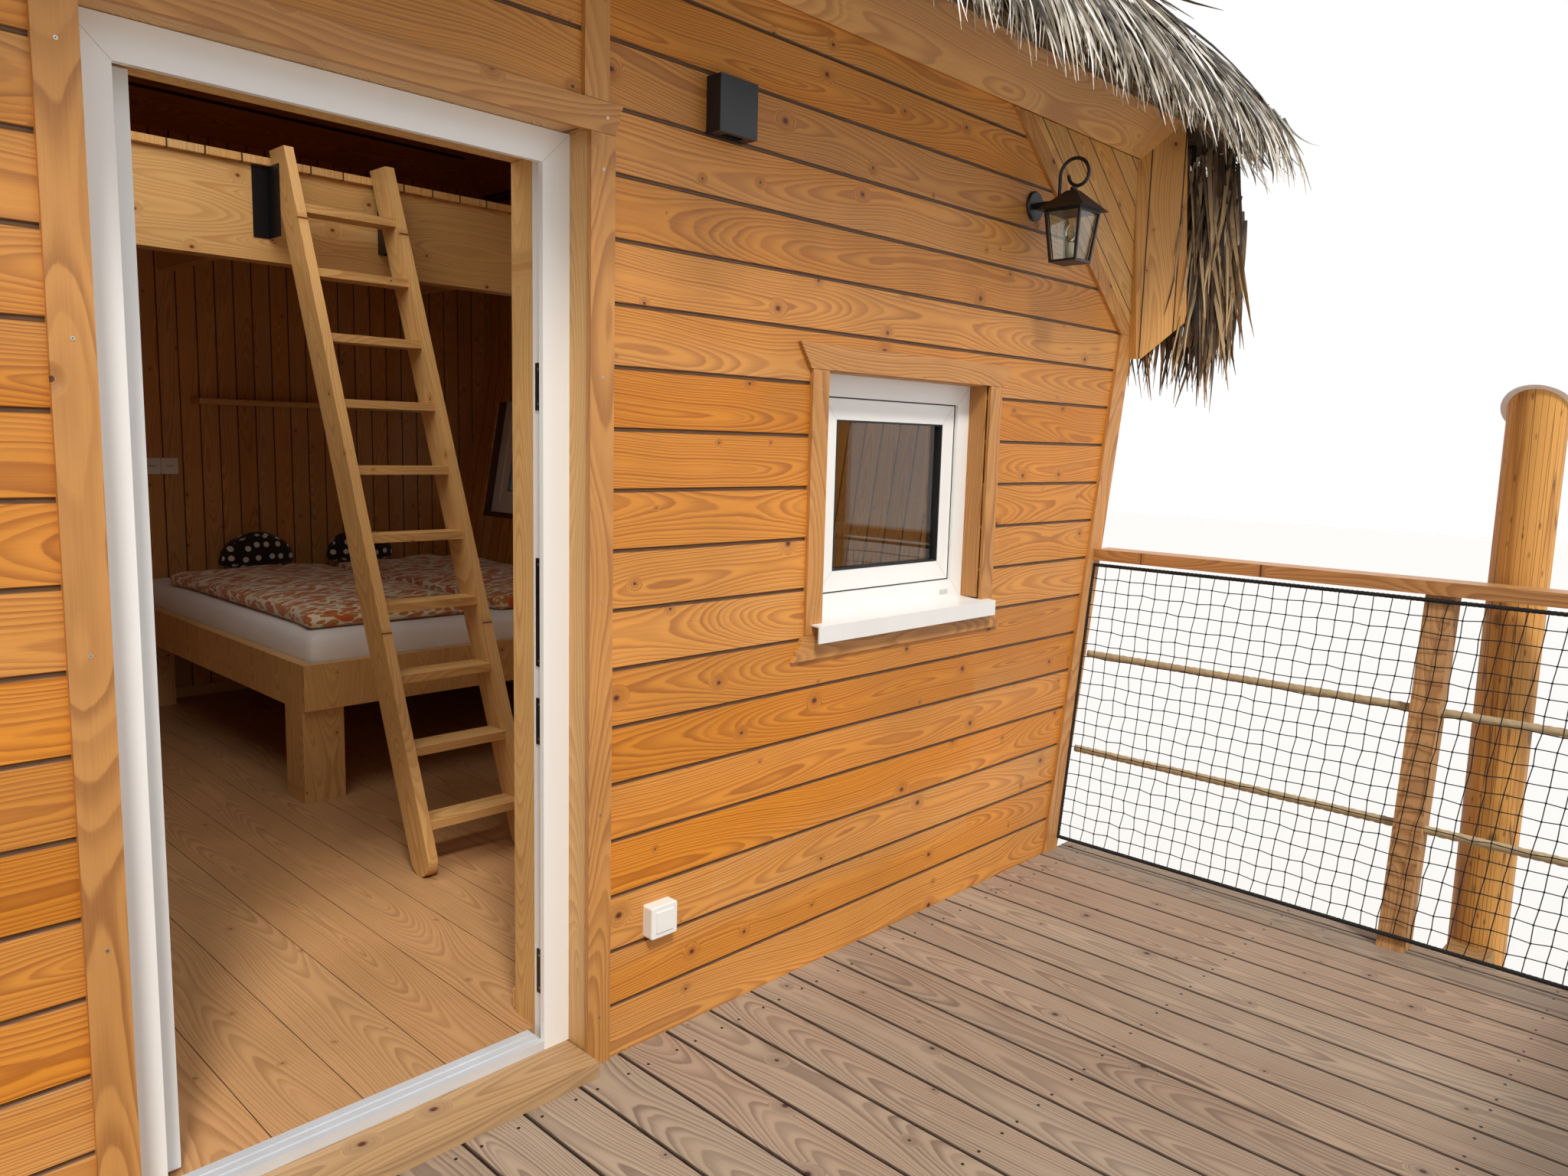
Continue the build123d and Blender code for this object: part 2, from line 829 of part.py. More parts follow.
with BuildPart() as door_threshold:
    half = door_half - touch
    threshold_z = sill_z + threshold_height
    block(
        (door_centre_x - half, door_centre_x + half),
        (frame_y, frame_back_y),
        (sill_z + touch, threshold_z),
    )
    for share in (1 / 4, 3 / 5):
        groove_y = frame_y + door_frame_depth * share
        block(
            (door_centre_x - half + joint_gap, door_centre_x + half - joint_gap),
            (groove_y, groove_y + groove_width),
            (threshold_z - groove_depth, threshold_z + joint_gap),
            mode=Mode.SUBTRACT,
        )
finish(door_threshold, "door_threshold")

# Boards that line the doorway: thin ones beside the frame, thick ones on its room side
with BuildPart() as door_lining:
    reveal_y = (wall_y + touch, frame_back_y)
    lining_y = (frame_back_y + touch, room_front_y)
    lining_top = clear_top_z + lining_head_gap
    for thickness_left, thickness_right, y, foot, head in (
        (reveal_thickness - touch, reveal_thickness - touch, reveal_y, deck_z + touch, frame_top_z),
        (hinge_lining_thickness, lining_thickness, lining_y, floor_z + touch, lining_top),
    ):
        block((doorway_x[0], doorway_left_x + thickness_left), y, (foot, head))
        block((doorway_right_x - thickness_right, doorway_x[1]), y, (foot, head))
        block(doorway_x, y, (head + joint_gap, doorway_top_z - touch))
finish(door_lining, "door_lining")

# Boards round the doorway on the front wall
header_z = doorway_top_z - trim_thickness
header_top_z = header_z + header_height
trim_outer_half = trim_inner_half + trim_width
upper_inner_half = trim_inner_half - upper_trim_shift
with BuildPart() as door_trims:
    for direction in (-1, 1):
        for inner_half, z_low, z_high in (
            (trim_inner_half, board_foot, header_z - joint_gap),
            (upper_inner_half, header_top_z + joint_gap, eave_low_z - touch),
        ):
            near = door_centre_x + direction * inner_half
            far = door_centre_x + direction * (inner_half + trim_width)
            plate_xz(upright(near, far, z_low, z_high), trim_y, trim_thickness - touch)
    plate_xz(
        [
            (door_centre_x - trim_outer_half, header_z),
            (door_centre_x + trim_outer_half, header_z),
            (door_centre_x + trim_outer_half + header_flare, header_top_z),
            (door_centre_x - trim_outer_half - header_flare, header_top_z),
        ],
        trim_y,
        trim_thickness - touch,
    )
finish(door_trims, "door_trims")

# Door leaf, standing open at a right angle into the room
hinge_x = door_centre_x - door_half - door_rebate + door_gap - leaf_near
hinge_y = frame_back_y + hinge_setback
leaf_width = door_clear_width + 2 * door_rebate - door_gap - door_free_gap
leaf_x = (hinge_x + hinge_setback, hinge_x + hinge_setback + door_leaf_thickness)
leaf_y = (hinge_y + leaf_near, hinge_y + leaf_near + leaf_width)
leaf_z = (floor_z + door_foot_gap, clear_top_z + door_rebate - door_gap)
panel_rail_z = deck_z + panel_rail_rise
hinge_half = hinge_height / 2
hinge_radius = hinge_diameter / 2
with BuildPart() as door_leaf:
    block(leaf_x, leaf_y, leaf_z)
    for x_low in (leaf_x[0] - joint_gap, leaf_x[1] - panel_depth):
        for panel_z in (
            (leaf_z[0] + panel_margin, panel_rail_z - panel_margin / 2),
            (panel_rail_z + panel_margin / 2, leaf_z[1] - panel_margin),
        ):
            block(
                (x_low, x_low + panel_depth + joint_gap),
                (leaf_y[0] + panel_margin, leaf_y[1] - panel_margin),
                panel_z,
                mode=Mode.SUBTRACT,
            )
    for rise in hinge_rises:
        with BuildSketch(Plane.XY.offset(deck_z + rise + hinge_half + touch)):
            with Locations((hinge_x, hinge_y)):
                Circle(hinge_radius)
            with BuildLine():
                Polyline(
                    (hinge_x, hinge_y - hinge_radius),
                    (leaf_x[0] + joint_gap, leaf_y[0]),
                    (leaf_x[0] + joint_gap, hinge_y + hinge_half),
                    (hinge_x, hinge_y + hinge_radius),
                    close=True,
                )
            make_face()
        extrude(amount=hinge_half)
finish(door_leaf, "door_leaf")

with BuildPart() as door_hinges:
    for rise in hinge_rises:
        with BuildSketch(Plane.XY.offset(deck_z + rise)):
            with Locations((hinge_x, hinge_y)):
                Circle(hinge_radius)
            with Locations((hinge_x - (hinge_radius + joint_gap) / 2, (hinge_y + frame_back_y + touch) / 2)):
                Rectangle(hinge_radius - joint_gap, hinge_setback - touch)
            with Locations((hinge_x - hinge_plate - hinge_half / 4, frame_back_y + touch + hinge_plate / 2)):
                Rectangle(hinge_half / 2, hinge_plate)
        extrude(amount=hinge_half)
finish(door_hinges, "door_hinges")

# Lever handle on both faces, each with a long rounded plate
plate_width, plate_height, plate_thickness = handle_plate
with BuildPart() as door_handle:
    for direction, face_x in ((-1, leaf_x[0]), (1, leaf_x[1])):
        face = Plane(
            origin=(face_x + direction * touch, leaf_y[1] - handle_from_edge, deck_z + handle_rise),
            x_dir=(0, 1, 0),
            z_dir=(direction, 0, 0),
        )
        with BuildSketch(face):
            SlotOverall(plate_height, plate_width, rotation=90)
        extrude(amount=plate_thickness)
        with BuildSketch(face.offset(plate_thickness)):
            Circle(handle_bar / 2)
        extrude(amount=handle_standoff - plate_thickness)
        with BuildSketch(face.offset(handle_standoff - handle_bar / 2)):
            with Locations(((handle_bar - handle_lever) / 2, 0)):
                SlotOverall(handle_lever, handle_bar)
        extrude(amount=handle_bar)
finish(door_handle, "door_handle")


def window_ring(face, outer, inner, depth):
    """A rectangular ring in a wall, from its inner to its outer depth."""
    with BuildSketch(face.offset(depth[0])) as ring:
        with Locations((0, window_height / 2)):
            Rectangle(window_width - 2 * outer, window_height - 2 * outer)
            Rectangle(window_width - 2 * inner, window_height - 2 * inner, mode=Mode.SUBTRACT)
    extrude(ring.sketch, amount=depth[1] - depth[0])


sash_front = -window_recess - window_sash_recess
sash_margin = window_frame_face + touch
glass_margin = sash_margin + window_sash_face
with BuildPart() as window_frames:
    for face in window_planes:
        window_ring(face, touch, window_frame_face, (-window_recess - window_frame_depth, -window_recess))
finish(window_frames, "window_frames")

with BuildPart() as window_sashes:
    for face in window_planes:
        window_ring(face, sash_margin, glass_margin, (sash_front - window_sash_depth, sash_front))
finish(window_sashes, "window_sashes")

with BuildPart() as window_glass:
    for face in window_planes:
        with BuildSketch(face.offset(sash_front - (window_sash_depth + glass_thickness) / 2)):
            with Locations((0, window_height / 2)):
                margin = 2 * (glass_margin + touch)
                Rectangle(window_width - margin, window_height - margin)
        extrude(amount=glass_thickness)
finish(window_glass, "window_glass")

with BuildPart() as window_trims:
    side_inner = window_width / 2
    head_half = side_inner + trim_width + trim_lap
    head_foot = window_height - trim_lap
    foot_top = -window_foot_drop
    for face in window_planes:
        with BuildSketch(face.offset(touch)):
            for direction in (-1, 1):
                with Locations((direction * (side_inner + trim_width / 2), (head_foot + foot_top) / 2)):
                    Rectangle(trim_width, head_foot - foot_top - 2 * joint_gap)
            for z, height in ((head_foot, window_head_height), (foot_top, -window_foot_height)):
                with BuildLine():
                    Polyline(
                        (-head_half, z), (head_half, z),
                        (head_half + window_flare, z + height), (-head_half - window_flare, z + height),
                        close=True,
                    )
                make_face()
        extrude(amount=trim_thickness - touch)
finish(window_trims, "window_trims")

# Folded metal sills, notched round the boards beside the openings, with a lip that turns down
sill_ear = (window_sill_length - window_width) / 2 + touch
with BuildPart() as window_sills:
    rear = touch - window_recess
    rear_top = window_sill_sheet + window_sill_fall
    lip = window_sill_projection
    lip_foot = window_sill_sheet - window_sill_lip
    for face in window_planes:
        across = Plane(
            origin=face.origin - face.x_dir * (window_sill_length / 2),
            x_dir=face.z_dir,
            z_dir=face.x_dir * -1,
        )
        with BuildSketch(across):
            with BuildLine():
                Polyline(
                    (rear, rear_top), (lip, window_sill_sheet), (lip, lip_foot),
                    (lip - window_sill_sheet, lip_foot),
                    (lip - window_sill_sheet, 0),
                    (rear, rear_top - window_sill_sheet),
                    close=True,
                )
            make_face()
        extrude(amount=-window_sill_length)
        with BuildSketch(face.offset(rear - joint_gap)):
            for direction in (-1, 1):
                with Locations((direction * (window_sill_length - sill_ear + joint_gap) / 2, 0)):
                    Rectangle(sill_ear + joint_gap, 2 * window_sill_lip)
        extrude(amount=trim_thickness + touch + joint_gap - rear, mode=Mode.SUBTRACT)
finish(window_sills, "window_sills")

# Loft over the back of the room
loft_z = deck_z + loft_rise
loft_under_z = loft_z - loft_board_thickness
loft_y = wall_y + loft_front
with BuildPart() as loft_floor:
    half = inner_x(loft_under_z) - touch
    block((-half, half), (loft_y - loft_board_overhang, room_back_y - touch), (loft_under_z, loft_z))
finish(loft_floor, "loft_floor")

with BuildPart() as loft_beams:
    beam_foot = loft_under_z - loft_beam_height
    half = inner_x(beam_foot) - touch
    block((-half, half), (loft_y, loft_y + loft_beam_thickness), (beam_foot, loft_under_z))
    for row in range(loft_joist_count):
        x = half * (2 * row + 1 - loft_joist_count) / loft_joist_count
        block(
            (x - loft_joist_width / 2, x + loft_joist_width / 2),
            (loft_y + loft_beam_thickness + touch, room_back_y - touch),
            (loft_under_z - loft_joist_height, loft_under_z),
        )
finish(loft_beams, "loft_beams")

# Ladder leaning against the edge of the loft
ladder_sin, ladder_cos = sin(radians(ladder_lean_deg)), cos(radians(ladder_lean_deg))
stringer_round = stringer_depth / 2
ladder_foot_z = floor_z + stringer_round + touch
ladder_edge_y = loft_y - loft_board_overhang - touch
ladder_foot_y = ladder_edge_y - (stringer_round + (loft_z - ladder_foot_z) * ladder_sin) / ladder_cos
ladder_top_z = deck_z + ladder_top_rise
ladder_right_x = ladder_left_x + ladder_width


def ladder_y(z):
    """Middle of the stringers at a level."""
    return ladder_foot_y + (z - ladder_foot_z) * ladder_sin / ladder_cos


with BuildPart() as ladder_stringers:
    over_z = ladder_top_z + stringer_depth
    across_y, across_z = stringer_round * ladder_cos, stringer_round * ladder_sin
    low_front = (ladder_foot_y - across_y, ladder_foot_z + across_z)
    low_back = (ladder_foot_y + across_y, ladder_foot_z - across_z)
    high_front = (ladder_y(over_z) - across_y, over_z + across_z)
    high_back = (ladder_y(over_z) + across_y, over_z - across_z)
    low_tip = (ladder_foot_y - across_z, ladder_foot_z - across_y)
    for x in (ladder_left_x, ladder_right_x - stringer_thickness):
        with BuildSketch(Plane.YZ.offset(x)):
            with BuildLine():
                ThreePointArc(low_front, low_tip, low_back)
                Polyline(low_back, high_back, high_front, low_front)
            make_face()
            with Locations((ladder_y(over_z), over_z + stringer_round)):
                Rectangle(4 * stringer_depth, 3 * stringer_depth, mode=Mode.SUBTRACT)
        extrude(amount=stringer_thickness)
finish(ladder_stringers, "ladder_stringers")

with BuildPart() as ladder_treads:
    tread_x = (ladder_left_x + stringer_thickness + touch, ladder_right_x - stringer_thickness - touch)
    for step in range(tread_count):
        z = deck_z + first_tread_rise + step * tread_pitch
        block(
            tread_x,
            (ladder_y(z) - tread_depth / 2, ladder_y(z) + tread_depth / 2),
            (z - tread_thickness / 2, z + tread_thickness / 2),
        )
finish(ladder_treads, "ladder_treads")

# Angle brackets that hold the stringers to the loft beam
with BuildPart() as ladder_brackets:
    bracket_top = loft_under_z - touch
    leg_x, flange_y = ladder_left_x - touch, loft_y - touch
    with BuildSketch(Plane.XY.offset(bracket_top - bracket_height)):
        with BuildLine():
            Polyline(
                (leg_x, ladder_y(bracket_top)),
                (leg_x, flange_y),
                (leg_x - bracket_width, flange_y),
                (leg_x - bracket_width, flange_y - bracket_thickness),
                (leg_x - bracket_thickness, flange_y - bracket_thickness),
                (leg_x - bracket_thickness, ladder_y(bracket_top)),
                close=True,
            )
        make_face()
    extrude(amount=bracket_height)
    mirror(about=Plane.YZ.offset((ladder_left_x + ladder_right_x) / 2))
finish(ladder_brackets, "ladder_brackets")

# Bed along the back wall, with its mattress set into the frame
bed_x = (bed_left_x, inner_x(floor_z) - joint_gap)
bed_y = (wall_y + bed_front, room_back_y - touch)
bed_top = deck_z + bed_rail_rise
mattress_top = deck_z + mattress_rise
mattress_foot = mattress_top - mattress_thickness
base_foot = mattress_foot - touch - bed_base_thickness
inside_x = (bed_x[0] + bed_rail_thickness, bed_x[1] - bed_rail_thickness)
inside_y = (bed_y[0] + bed_rail_thickness, bed_y[1] - bed_rail_thickness)
with BuildPart() as bed_frame:
    block(bed_x, bed_y, (bed_top - bed_rail_height, bed_top))
    block(inside_x, inside_y, (mattress_foot - touch, bed_top + joint_gap), mode=Mode.SUBTRACT)
    block(inside_x, inside_y, (bed_top - bed_rail_height - joint_gap, base_foot), mode=Mode.SUBTRACT)
    for x in (bed_x[0], bed_x[1] - bed_leg):
        for y in (bed_y[0] + bed_rail_thickness / 2, bed_y[1] - bed_leg):
            block((x, x + bed_leg), (y, y + bed_leg), (floor_z + touch, base_foot))
finish(bed_frame, "bed_frame")

mattress_x = (inside_x[0] + joint_gap, inside_x[1] - joint_gap)
mattress_y = (inside_y[0] + joint_gap, inside_y[1] - joint_gap)
with BuildPart() as mattress:
    block(mattress_x, mattress_y, (mattress_foot, mattress_top))
    fillet(mattress.edges().filter_by(Axis.Z), mattress_corner)
    fillet(mattress.faces().sort_by(Axis.Z)[-1].edges(), mattress_corner / 2)
finish(mattress, "mattress")

# Two duvets side by side, pulled back from the head of the bed
with BuildPart() as duvets:
    mattress_middle = sum(mattress_x) / 2
    duvet_z = (mattress_top + touch, mattress_top + touch + duvet_thickness)
    duvet_y = (mattress_y[0] + duvet_corner, mattress_y[1] - duvet_head_gap)
    for duvet_x in (
        (mattress_x[0] + joint_gap, mattress_middle - joint_gap),
        (mattress_middle + joint_gap, mattress_x[1] - joint_gap),
    ):
        block(duvet_x, duvet_y, duvet_z)
    fillet(duvets.edges().filter_by(Axis.Z), 2 * duvet_corner)
    fillet(duvets.faces().filter_by(Plane.XY).edges(), duvet_corner)
finish(duvets, "duvets")

# Two mushroom-shaped cushions at the head of the bed: a domed cap on a stalk
with BuildPart() as cushions:
    for x in cushion_spots:
        with BuildSketch(facing_front(x, mattress_y[1] - cushion_from_head, mattress_top + touch)):
            with BuildLine():
                Polyline(
                    (-cushion_width / 2, stalk_height), (-stalk_width / 2, stalk_height),
                    (-stalk_width / 2, 0), (stalk_width / 2, 0),
                    (stalk_width / 2, stalk_height), (cushion_width / 2, stalk_height),
                )
                ThreePointArc(
                    (cushion_width / 2, stalk_height),
                    (0, stalk_height + cushion_height),
                    (-cushion_width / 2, stalk_height),
                )
            make_face()
        extrude(amount=cushion_depth)
finish(cushions, "cushions")

with BuildPart() as wall_shelf:
    block(
        (shelf_left_x, shelf_left_x + shelf_length),
        (room_back_y - shelf_depth, room_back_y - touch),
        (deck_z + shelf_rise - shelf_thickness, deck_z + shelf_rise),
    )
finish(wall_shelf, "wall_shelf")

# Railing: square posts that lean outwards, with hemp ropes through them
post_x = deck_half_width - post_foot
post_front_y = deck_front_y + post_foot
post_lean = railing_lean * post_reach
gate_x = (gate_width + railing_post) / 2
post_places = (
    (post_x, wall_y - side_bay, post_lean, 0),
    (post_x, post_front_y, post_lean, -post_lean),
    (gate_x, post_front_y, 0, -post_lean),
)


def hemp_place(rise):
    """Where a hemp rope crosses the side posts in X and the front posts in Y."""
    return post_x + railing_lean * rise, post_front_y - railing_lean * rise


with BuildPart() as railing_posts:
    for x, y, shift_x, shift_y in post_places:
        with BuildSketch(Plane.XY.offset(deck_z + touch)):
            with Locations((x, y)):
                Rectangle(railing_post, railing_post)
        with BuildSketch(Plane.XY.offset(deck_z + post_reach - touch)):
            with Locations((x + shift_x, y + shift_y)):
                Rectangle(railing_post, railing_post)
        loft(ruled=True)
    for rise in hemp_rises:
        hemp_x, hemp_y = hemp_place(rise)
        with BuildSketch(Plane.XZ.offset(-wall_y)):
            with Locations((hemp_x, deck_z + rise)):
                Circle(hemp_diameter / 2 + touch)
        extrude(amount=wall_y - hemp_y, mode=Mode.SUBTRACT)
        with BuildSketch(Plane.YZ):
            with Locations((hemp_y, deck_z + rise)):
                Circle(hemp_diameter / 2 + touch)
        extrude(amount=hemp_x + touch, mode=Mode.SUBTRACT)
    mirror_to_left()
finish(railing_posts, "railing_posts")

with BuildPart() as hemp_ropes:
    for rise in hemp_rises:
        hemp_x, hemp_y = hemp_place(rise)
        rope_start_y = trim_y - touch
        rope_end_y = hemp_y + hemp_diameter / 2 + joint_gap
        with BuildSketch(Plane.XZ.offset(-rope_start_y)):
            with Locations((hemp_x, deck_z + rise)):
                Circle(hemp_diameter / 2)
        extrude(amount=rope_start_y - rope_end_y)
        with BuildSketch(Plane.YZ.offset(gate_x)):
            with Locations((hemp_y, deck_z + rise)):
                Circle(hemp_diameter / 2)
        extrude(amount=hemp_x - gate_x)
    mirror_to_left()
finish(hemp_ropes, "hemp_ropes")

# Rails on the posts, mitred at the corners of the deck
rail_x = post_x + post_lean
rail_y = post_front_y - post_lean
rail_half = rail_width / 2
side_rail = [
    (rail_x - rail_half, trim_y - touch), (rail_x + rail_half, trim_y - touch),
    (rail_x + rail_half, rail_y - rail_half + joint_gap),
    (rail_x - rail_half, rail_y + rail_half + joint_gap),
]
front_rail = [
    (gate_x - rail_half, rail_y + rail_half), (gate_x - rail_half, rail_y - rail_half),
    (rail_x + rail_half, rail_y - rail_half), (rail_x - rail_half, rail_y + rail_half),
]
with BuildPart() as top_rails:
    for points in (side_rail, front_rail):
        with BuildSketch(Plane.XY.offset(deck_z + post_reach)):
            with BuildLine():
                Polyline(*points, close=True)
            make_face()
        extrude(amount=rail_thickness)
    mirror_to_left()
finish(top_rails, "top_rails")

lean_sin, lean_cos = sin(radians(railing_lean_deg)), cos(radians(railing_lean_deg))
net_setback = (railing_post + net_rope_diameter) / 2 + touch
side_net_x = post_x - net_setback / lean_cos
front_net_y = post_front_y + net_setback / lean_cos
net_corner = Plane(origin=(side_net_x, front_net_y, 0), z_dir=(1, 1, 0))


def net_panel(face, length):
    """A net of wide meshes with its border rope, in the leaning plane of the posts."""
    low, high = net_low_rise / lean_cos, net_high_rise / lean_cos
    columns, rows = round(length / net_pitch), round((high - low) / net_pitch)
    with BuildSketch(face.offset(-net_cord / 2)) as mesh:
        for column in range(1, columns):
            with Locations((length * column / columns, (low + high) / 2)):
                Rectangle(net_cord, high - low)
        for row in range(1, rows):
            with Locations((length / 2, low + (high - low) * row / rows)):
                Rectangle(length, net_cord)
    extrude(mesh.sketch, amount=net_cord)
    with BuildSketch(face.offset(-net_rope_diameter / 2)) as border:
        with Locations((length / 2, (low + high) / 2)):
            Rectangle(length, high - low)
            inset = 2 * net_rope_diameter
            Rectangle(length - inset, high - low - inset, mode=Mode.SUBTRACT)
    extrude(border.sketch, amount=net_rope_diameter)


# Nets on the inner faces of the posts, meeting at the corners of the deck
with BuildPart() as railing_side_nets:
    net_start = front_net_y - post_lean - net_rope_diameter
    net_panel(
        Plane(origin=(side_net_x, net_start, deck_z), x_dir=(0, 1, 0), z_dir=(lean_cos, 0, -lean_sin)),
        trim_y - joint_gap - net_start,
    )
    split(bisect_by=net_corner.offset(joint_gap / 2), keep=Keep.TOP)
    mirror_to_left()
finish(railing_side_nets, "railing_side_nets")

with BuildPart() as railing_front_nets:
    net_start = gate_x - railing_post / 2
    net_panel(
        Plane(origin=(net_start, front_net_y, deck_z), x_dir=(1, 0, 0), z_dir=(0, -lean_cos, -lean_sin)),
        side_net_x + post_lean + net_rope_diameter - net_start,
    )
    split(bisect_by=net_corner.offset(-joint_gap / 2), keep=Keep.BOTTOM)
    mirror_to_left()
finish(railing_front_nets, "railing_front_nets")

# Wall lamp that shines up and down
lamp_z = (deck_z + lamp_rise - lamp_height / 2, deck_z + lamp_rise + lamp_height / 2)
with BuildPart() as wall_lamp:
    block((lamp_x - lamp_width / 2, lamp_x + lamp_width / 2), (wall_y - lamp_depth, wall_y - touch), lamp_z)
    fillet(wall_lamp.edges().filter_by(Axis.Z), joint_gap)
    for end, direction in zip(lamp_z, (1, -1)):
        with BuildSketch(Plane(origin=(lamp_x, wall_y - lamp_depth / 2, end))):
            RectangleRounded(*lamp_outlet)
        extrude(amount=direction * lamp_recess, mode=Mode.SUBTRACT)
finish(wall_lamp, "wall_lamp")

# Rocker switch in a surface box
with BuildPart() as light_switch:
    switch_face = facing_front(switch_x, wall_y - touch, deck_z + switch_rise)
    with BuildSketch(switch_face):
        RectangleRounded(switch_size, switch_size, switch_corner)
    extrude(amount=switch_depth - rocker_rise)
    fillet(light_switch.faces().sort_by(Axis.Y)[0].edges(), rocker_rise)
    with BuildSketch(switch_face.offset(switch_depth - rocker_rise)):
        Rectangle(rocker_size, rocker_size)
    extrude(amount=rocker_rise)
finish(light_switch, "light_switch")

# Hanging lantern: wall plate, arm, scroll, pyramid roof and a tapering glazed body
lantern_y = wall_y - touch - lantern_reach
lantern_z = deck_z + lantern_rise
lantern_roof_z = lantern_z - lantern_roof_height / 2
lantern_foot_z = lantern_roof_z - lantern_body_height
on_axis = ((0, 0), (0, 0))


def tapering_block(place, z_low, z_high, width_low, width_high, mode=Mode.ADD):
    """A square block whose width changes from foot to top, shifted by a place at each end."""
    ends = []
    for z, width, spot in ((z_low, width_low, place[0]), (z_high, width_high, place[1])):
        with BuildSketch(Plane(origin=(lantern_x, lantern_y, z))) as end:
            with Locations(spot):
                Rectangle(width, width)
        ends.append(end.sketch)
    loft(ends, ruled=True, mode=mode)


with BuildPart() as lantern:
    plate_face = facing_front(lantern_x, wall_y - touch, lantern_z)
    with BuildSketch(plate_face):
        Circle(lantern_plate_diameter / 2)
    extrude(amount=lantern_plate_thickness)
    chamfer(lantern.faces().sort_by(Axis.Y)[0].edges(), lantern_plate_thickness / 3)
    with BuildSketch(plate_face.offset(lantern_plate_thickness / 2)):
        Circle(scroll_diameter)
    extrude(amount=lantern_reach - lantern_plate_thickness / 2)
    roof_top_z = lantern_roof_z + lantern_roof_height
    tapering_block(on_axis, lantern_roof_z, roof_top_z, lantern_roof_width, lantern_crown_width)
    top, foot = lantern_body_top, lantern_body_foot
    tapering_block(on_axis, lantern_roof_z - lantern_bar, lantern_roof_z, top, top)
    tapering_block(on_axis, lantern_foot_z, lantern_foot_z + lantern_bar, foot, foot)
    low, high = (foot - lantern_bar) / 2, (top - lantern_bar) / 2
    for x_side in (-1, 1):
        for y_side in (-1, 1):
            tapering_block(
                ((x_side * low, y_side * low), (x_side * high, y_side * high)),
                lantern_foot_z + lantern_bar / 2,
                lantern_roof_z - lantern_bar / 2,
                lantern_bar,
                lantern_bar,
            )
    with BuildSketch(Plane(origin=(lantern_x, lantern_y, roof_top_z))):
        Circle(scroll_diameter)
    extrude(amount=finial_height)
    stem = lantern_roof_height / 2 + finial_height + curl_radius + scroll_diameter / 2 - 2 * joint_gap
    with BuildLine(Plane(origin=(lantern_x, lantern_y, lantern_z), x_dir=(0, -1, 0), z_dir=(-1, 0, 0))):
        Line((-scroll_radius, 0), (-scroll_radius, stem))
        ThreePointArc((-scroll_radius, stem), (0, stem + scroll_radius), (scroll_radius, stem))
        ThreePointArc(
            (scroll_radius, stem),
            (scroll_radius - curl_radius, stem - curl_radius),
            (scroll_radius - 2 * curl_radius, stem),
        )
    with BuildSketch(Plane(origin=(lantern_x, lantern_y + scroll_radius, lantern_z))):
        Circle(scroll_diameter / 2)
    sweep()
finish(lantern, "lantern")

with BuildPart() as lantern_glass:
    inset = 2 * (lantern_bar + joint_gap)
    hollow = inset + 2 * lantern_glass_thickness
    glass_foot = lantern_foot_z + lantern_bar + touch
    glass_head = lantern_roof_z - lantern_bar - touch
    tapering_block(on_axis, glass_foot, glass_head, foot - inset, top - inset)
    tapering_block(
        on_axis, glass_foot - joint_gap, glass_head + joint_gap, foot - hollow, top - hollow,
        mode=Mode.SUBTRACT,
    )
finish(lantern_glass, "lantern_glass")
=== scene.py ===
"""Finish of a timber tree house: oiled larch boards, palm-leaf thatch, net railing and furnished room."""
from math import copysign, cos, pi, radians, sin, tan

import bmesh
import bpy
from mathutils import Matrix, Vector, noise


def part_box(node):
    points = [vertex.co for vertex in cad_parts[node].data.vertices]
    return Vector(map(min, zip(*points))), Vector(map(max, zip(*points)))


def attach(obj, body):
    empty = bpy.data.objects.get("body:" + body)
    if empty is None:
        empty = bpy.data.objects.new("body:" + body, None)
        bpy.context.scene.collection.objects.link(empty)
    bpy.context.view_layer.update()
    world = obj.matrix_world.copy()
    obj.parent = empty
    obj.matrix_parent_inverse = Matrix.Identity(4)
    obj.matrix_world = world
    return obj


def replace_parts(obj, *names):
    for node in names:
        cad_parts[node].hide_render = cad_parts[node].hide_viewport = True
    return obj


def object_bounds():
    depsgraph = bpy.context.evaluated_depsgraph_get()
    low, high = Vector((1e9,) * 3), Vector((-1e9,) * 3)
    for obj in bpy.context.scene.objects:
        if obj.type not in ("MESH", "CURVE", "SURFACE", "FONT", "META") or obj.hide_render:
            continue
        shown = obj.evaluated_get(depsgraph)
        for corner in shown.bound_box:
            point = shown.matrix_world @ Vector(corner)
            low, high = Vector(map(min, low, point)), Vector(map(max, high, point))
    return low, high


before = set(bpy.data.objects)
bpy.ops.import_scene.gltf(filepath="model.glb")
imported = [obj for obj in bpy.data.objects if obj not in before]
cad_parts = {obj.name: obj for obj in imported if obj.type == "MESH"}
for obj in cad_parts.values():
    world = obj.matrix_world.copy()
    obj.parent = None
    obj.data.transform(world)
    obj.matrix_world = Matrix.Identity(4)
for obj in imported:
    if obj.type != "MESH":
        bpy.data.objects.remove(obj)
cad_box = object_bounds()

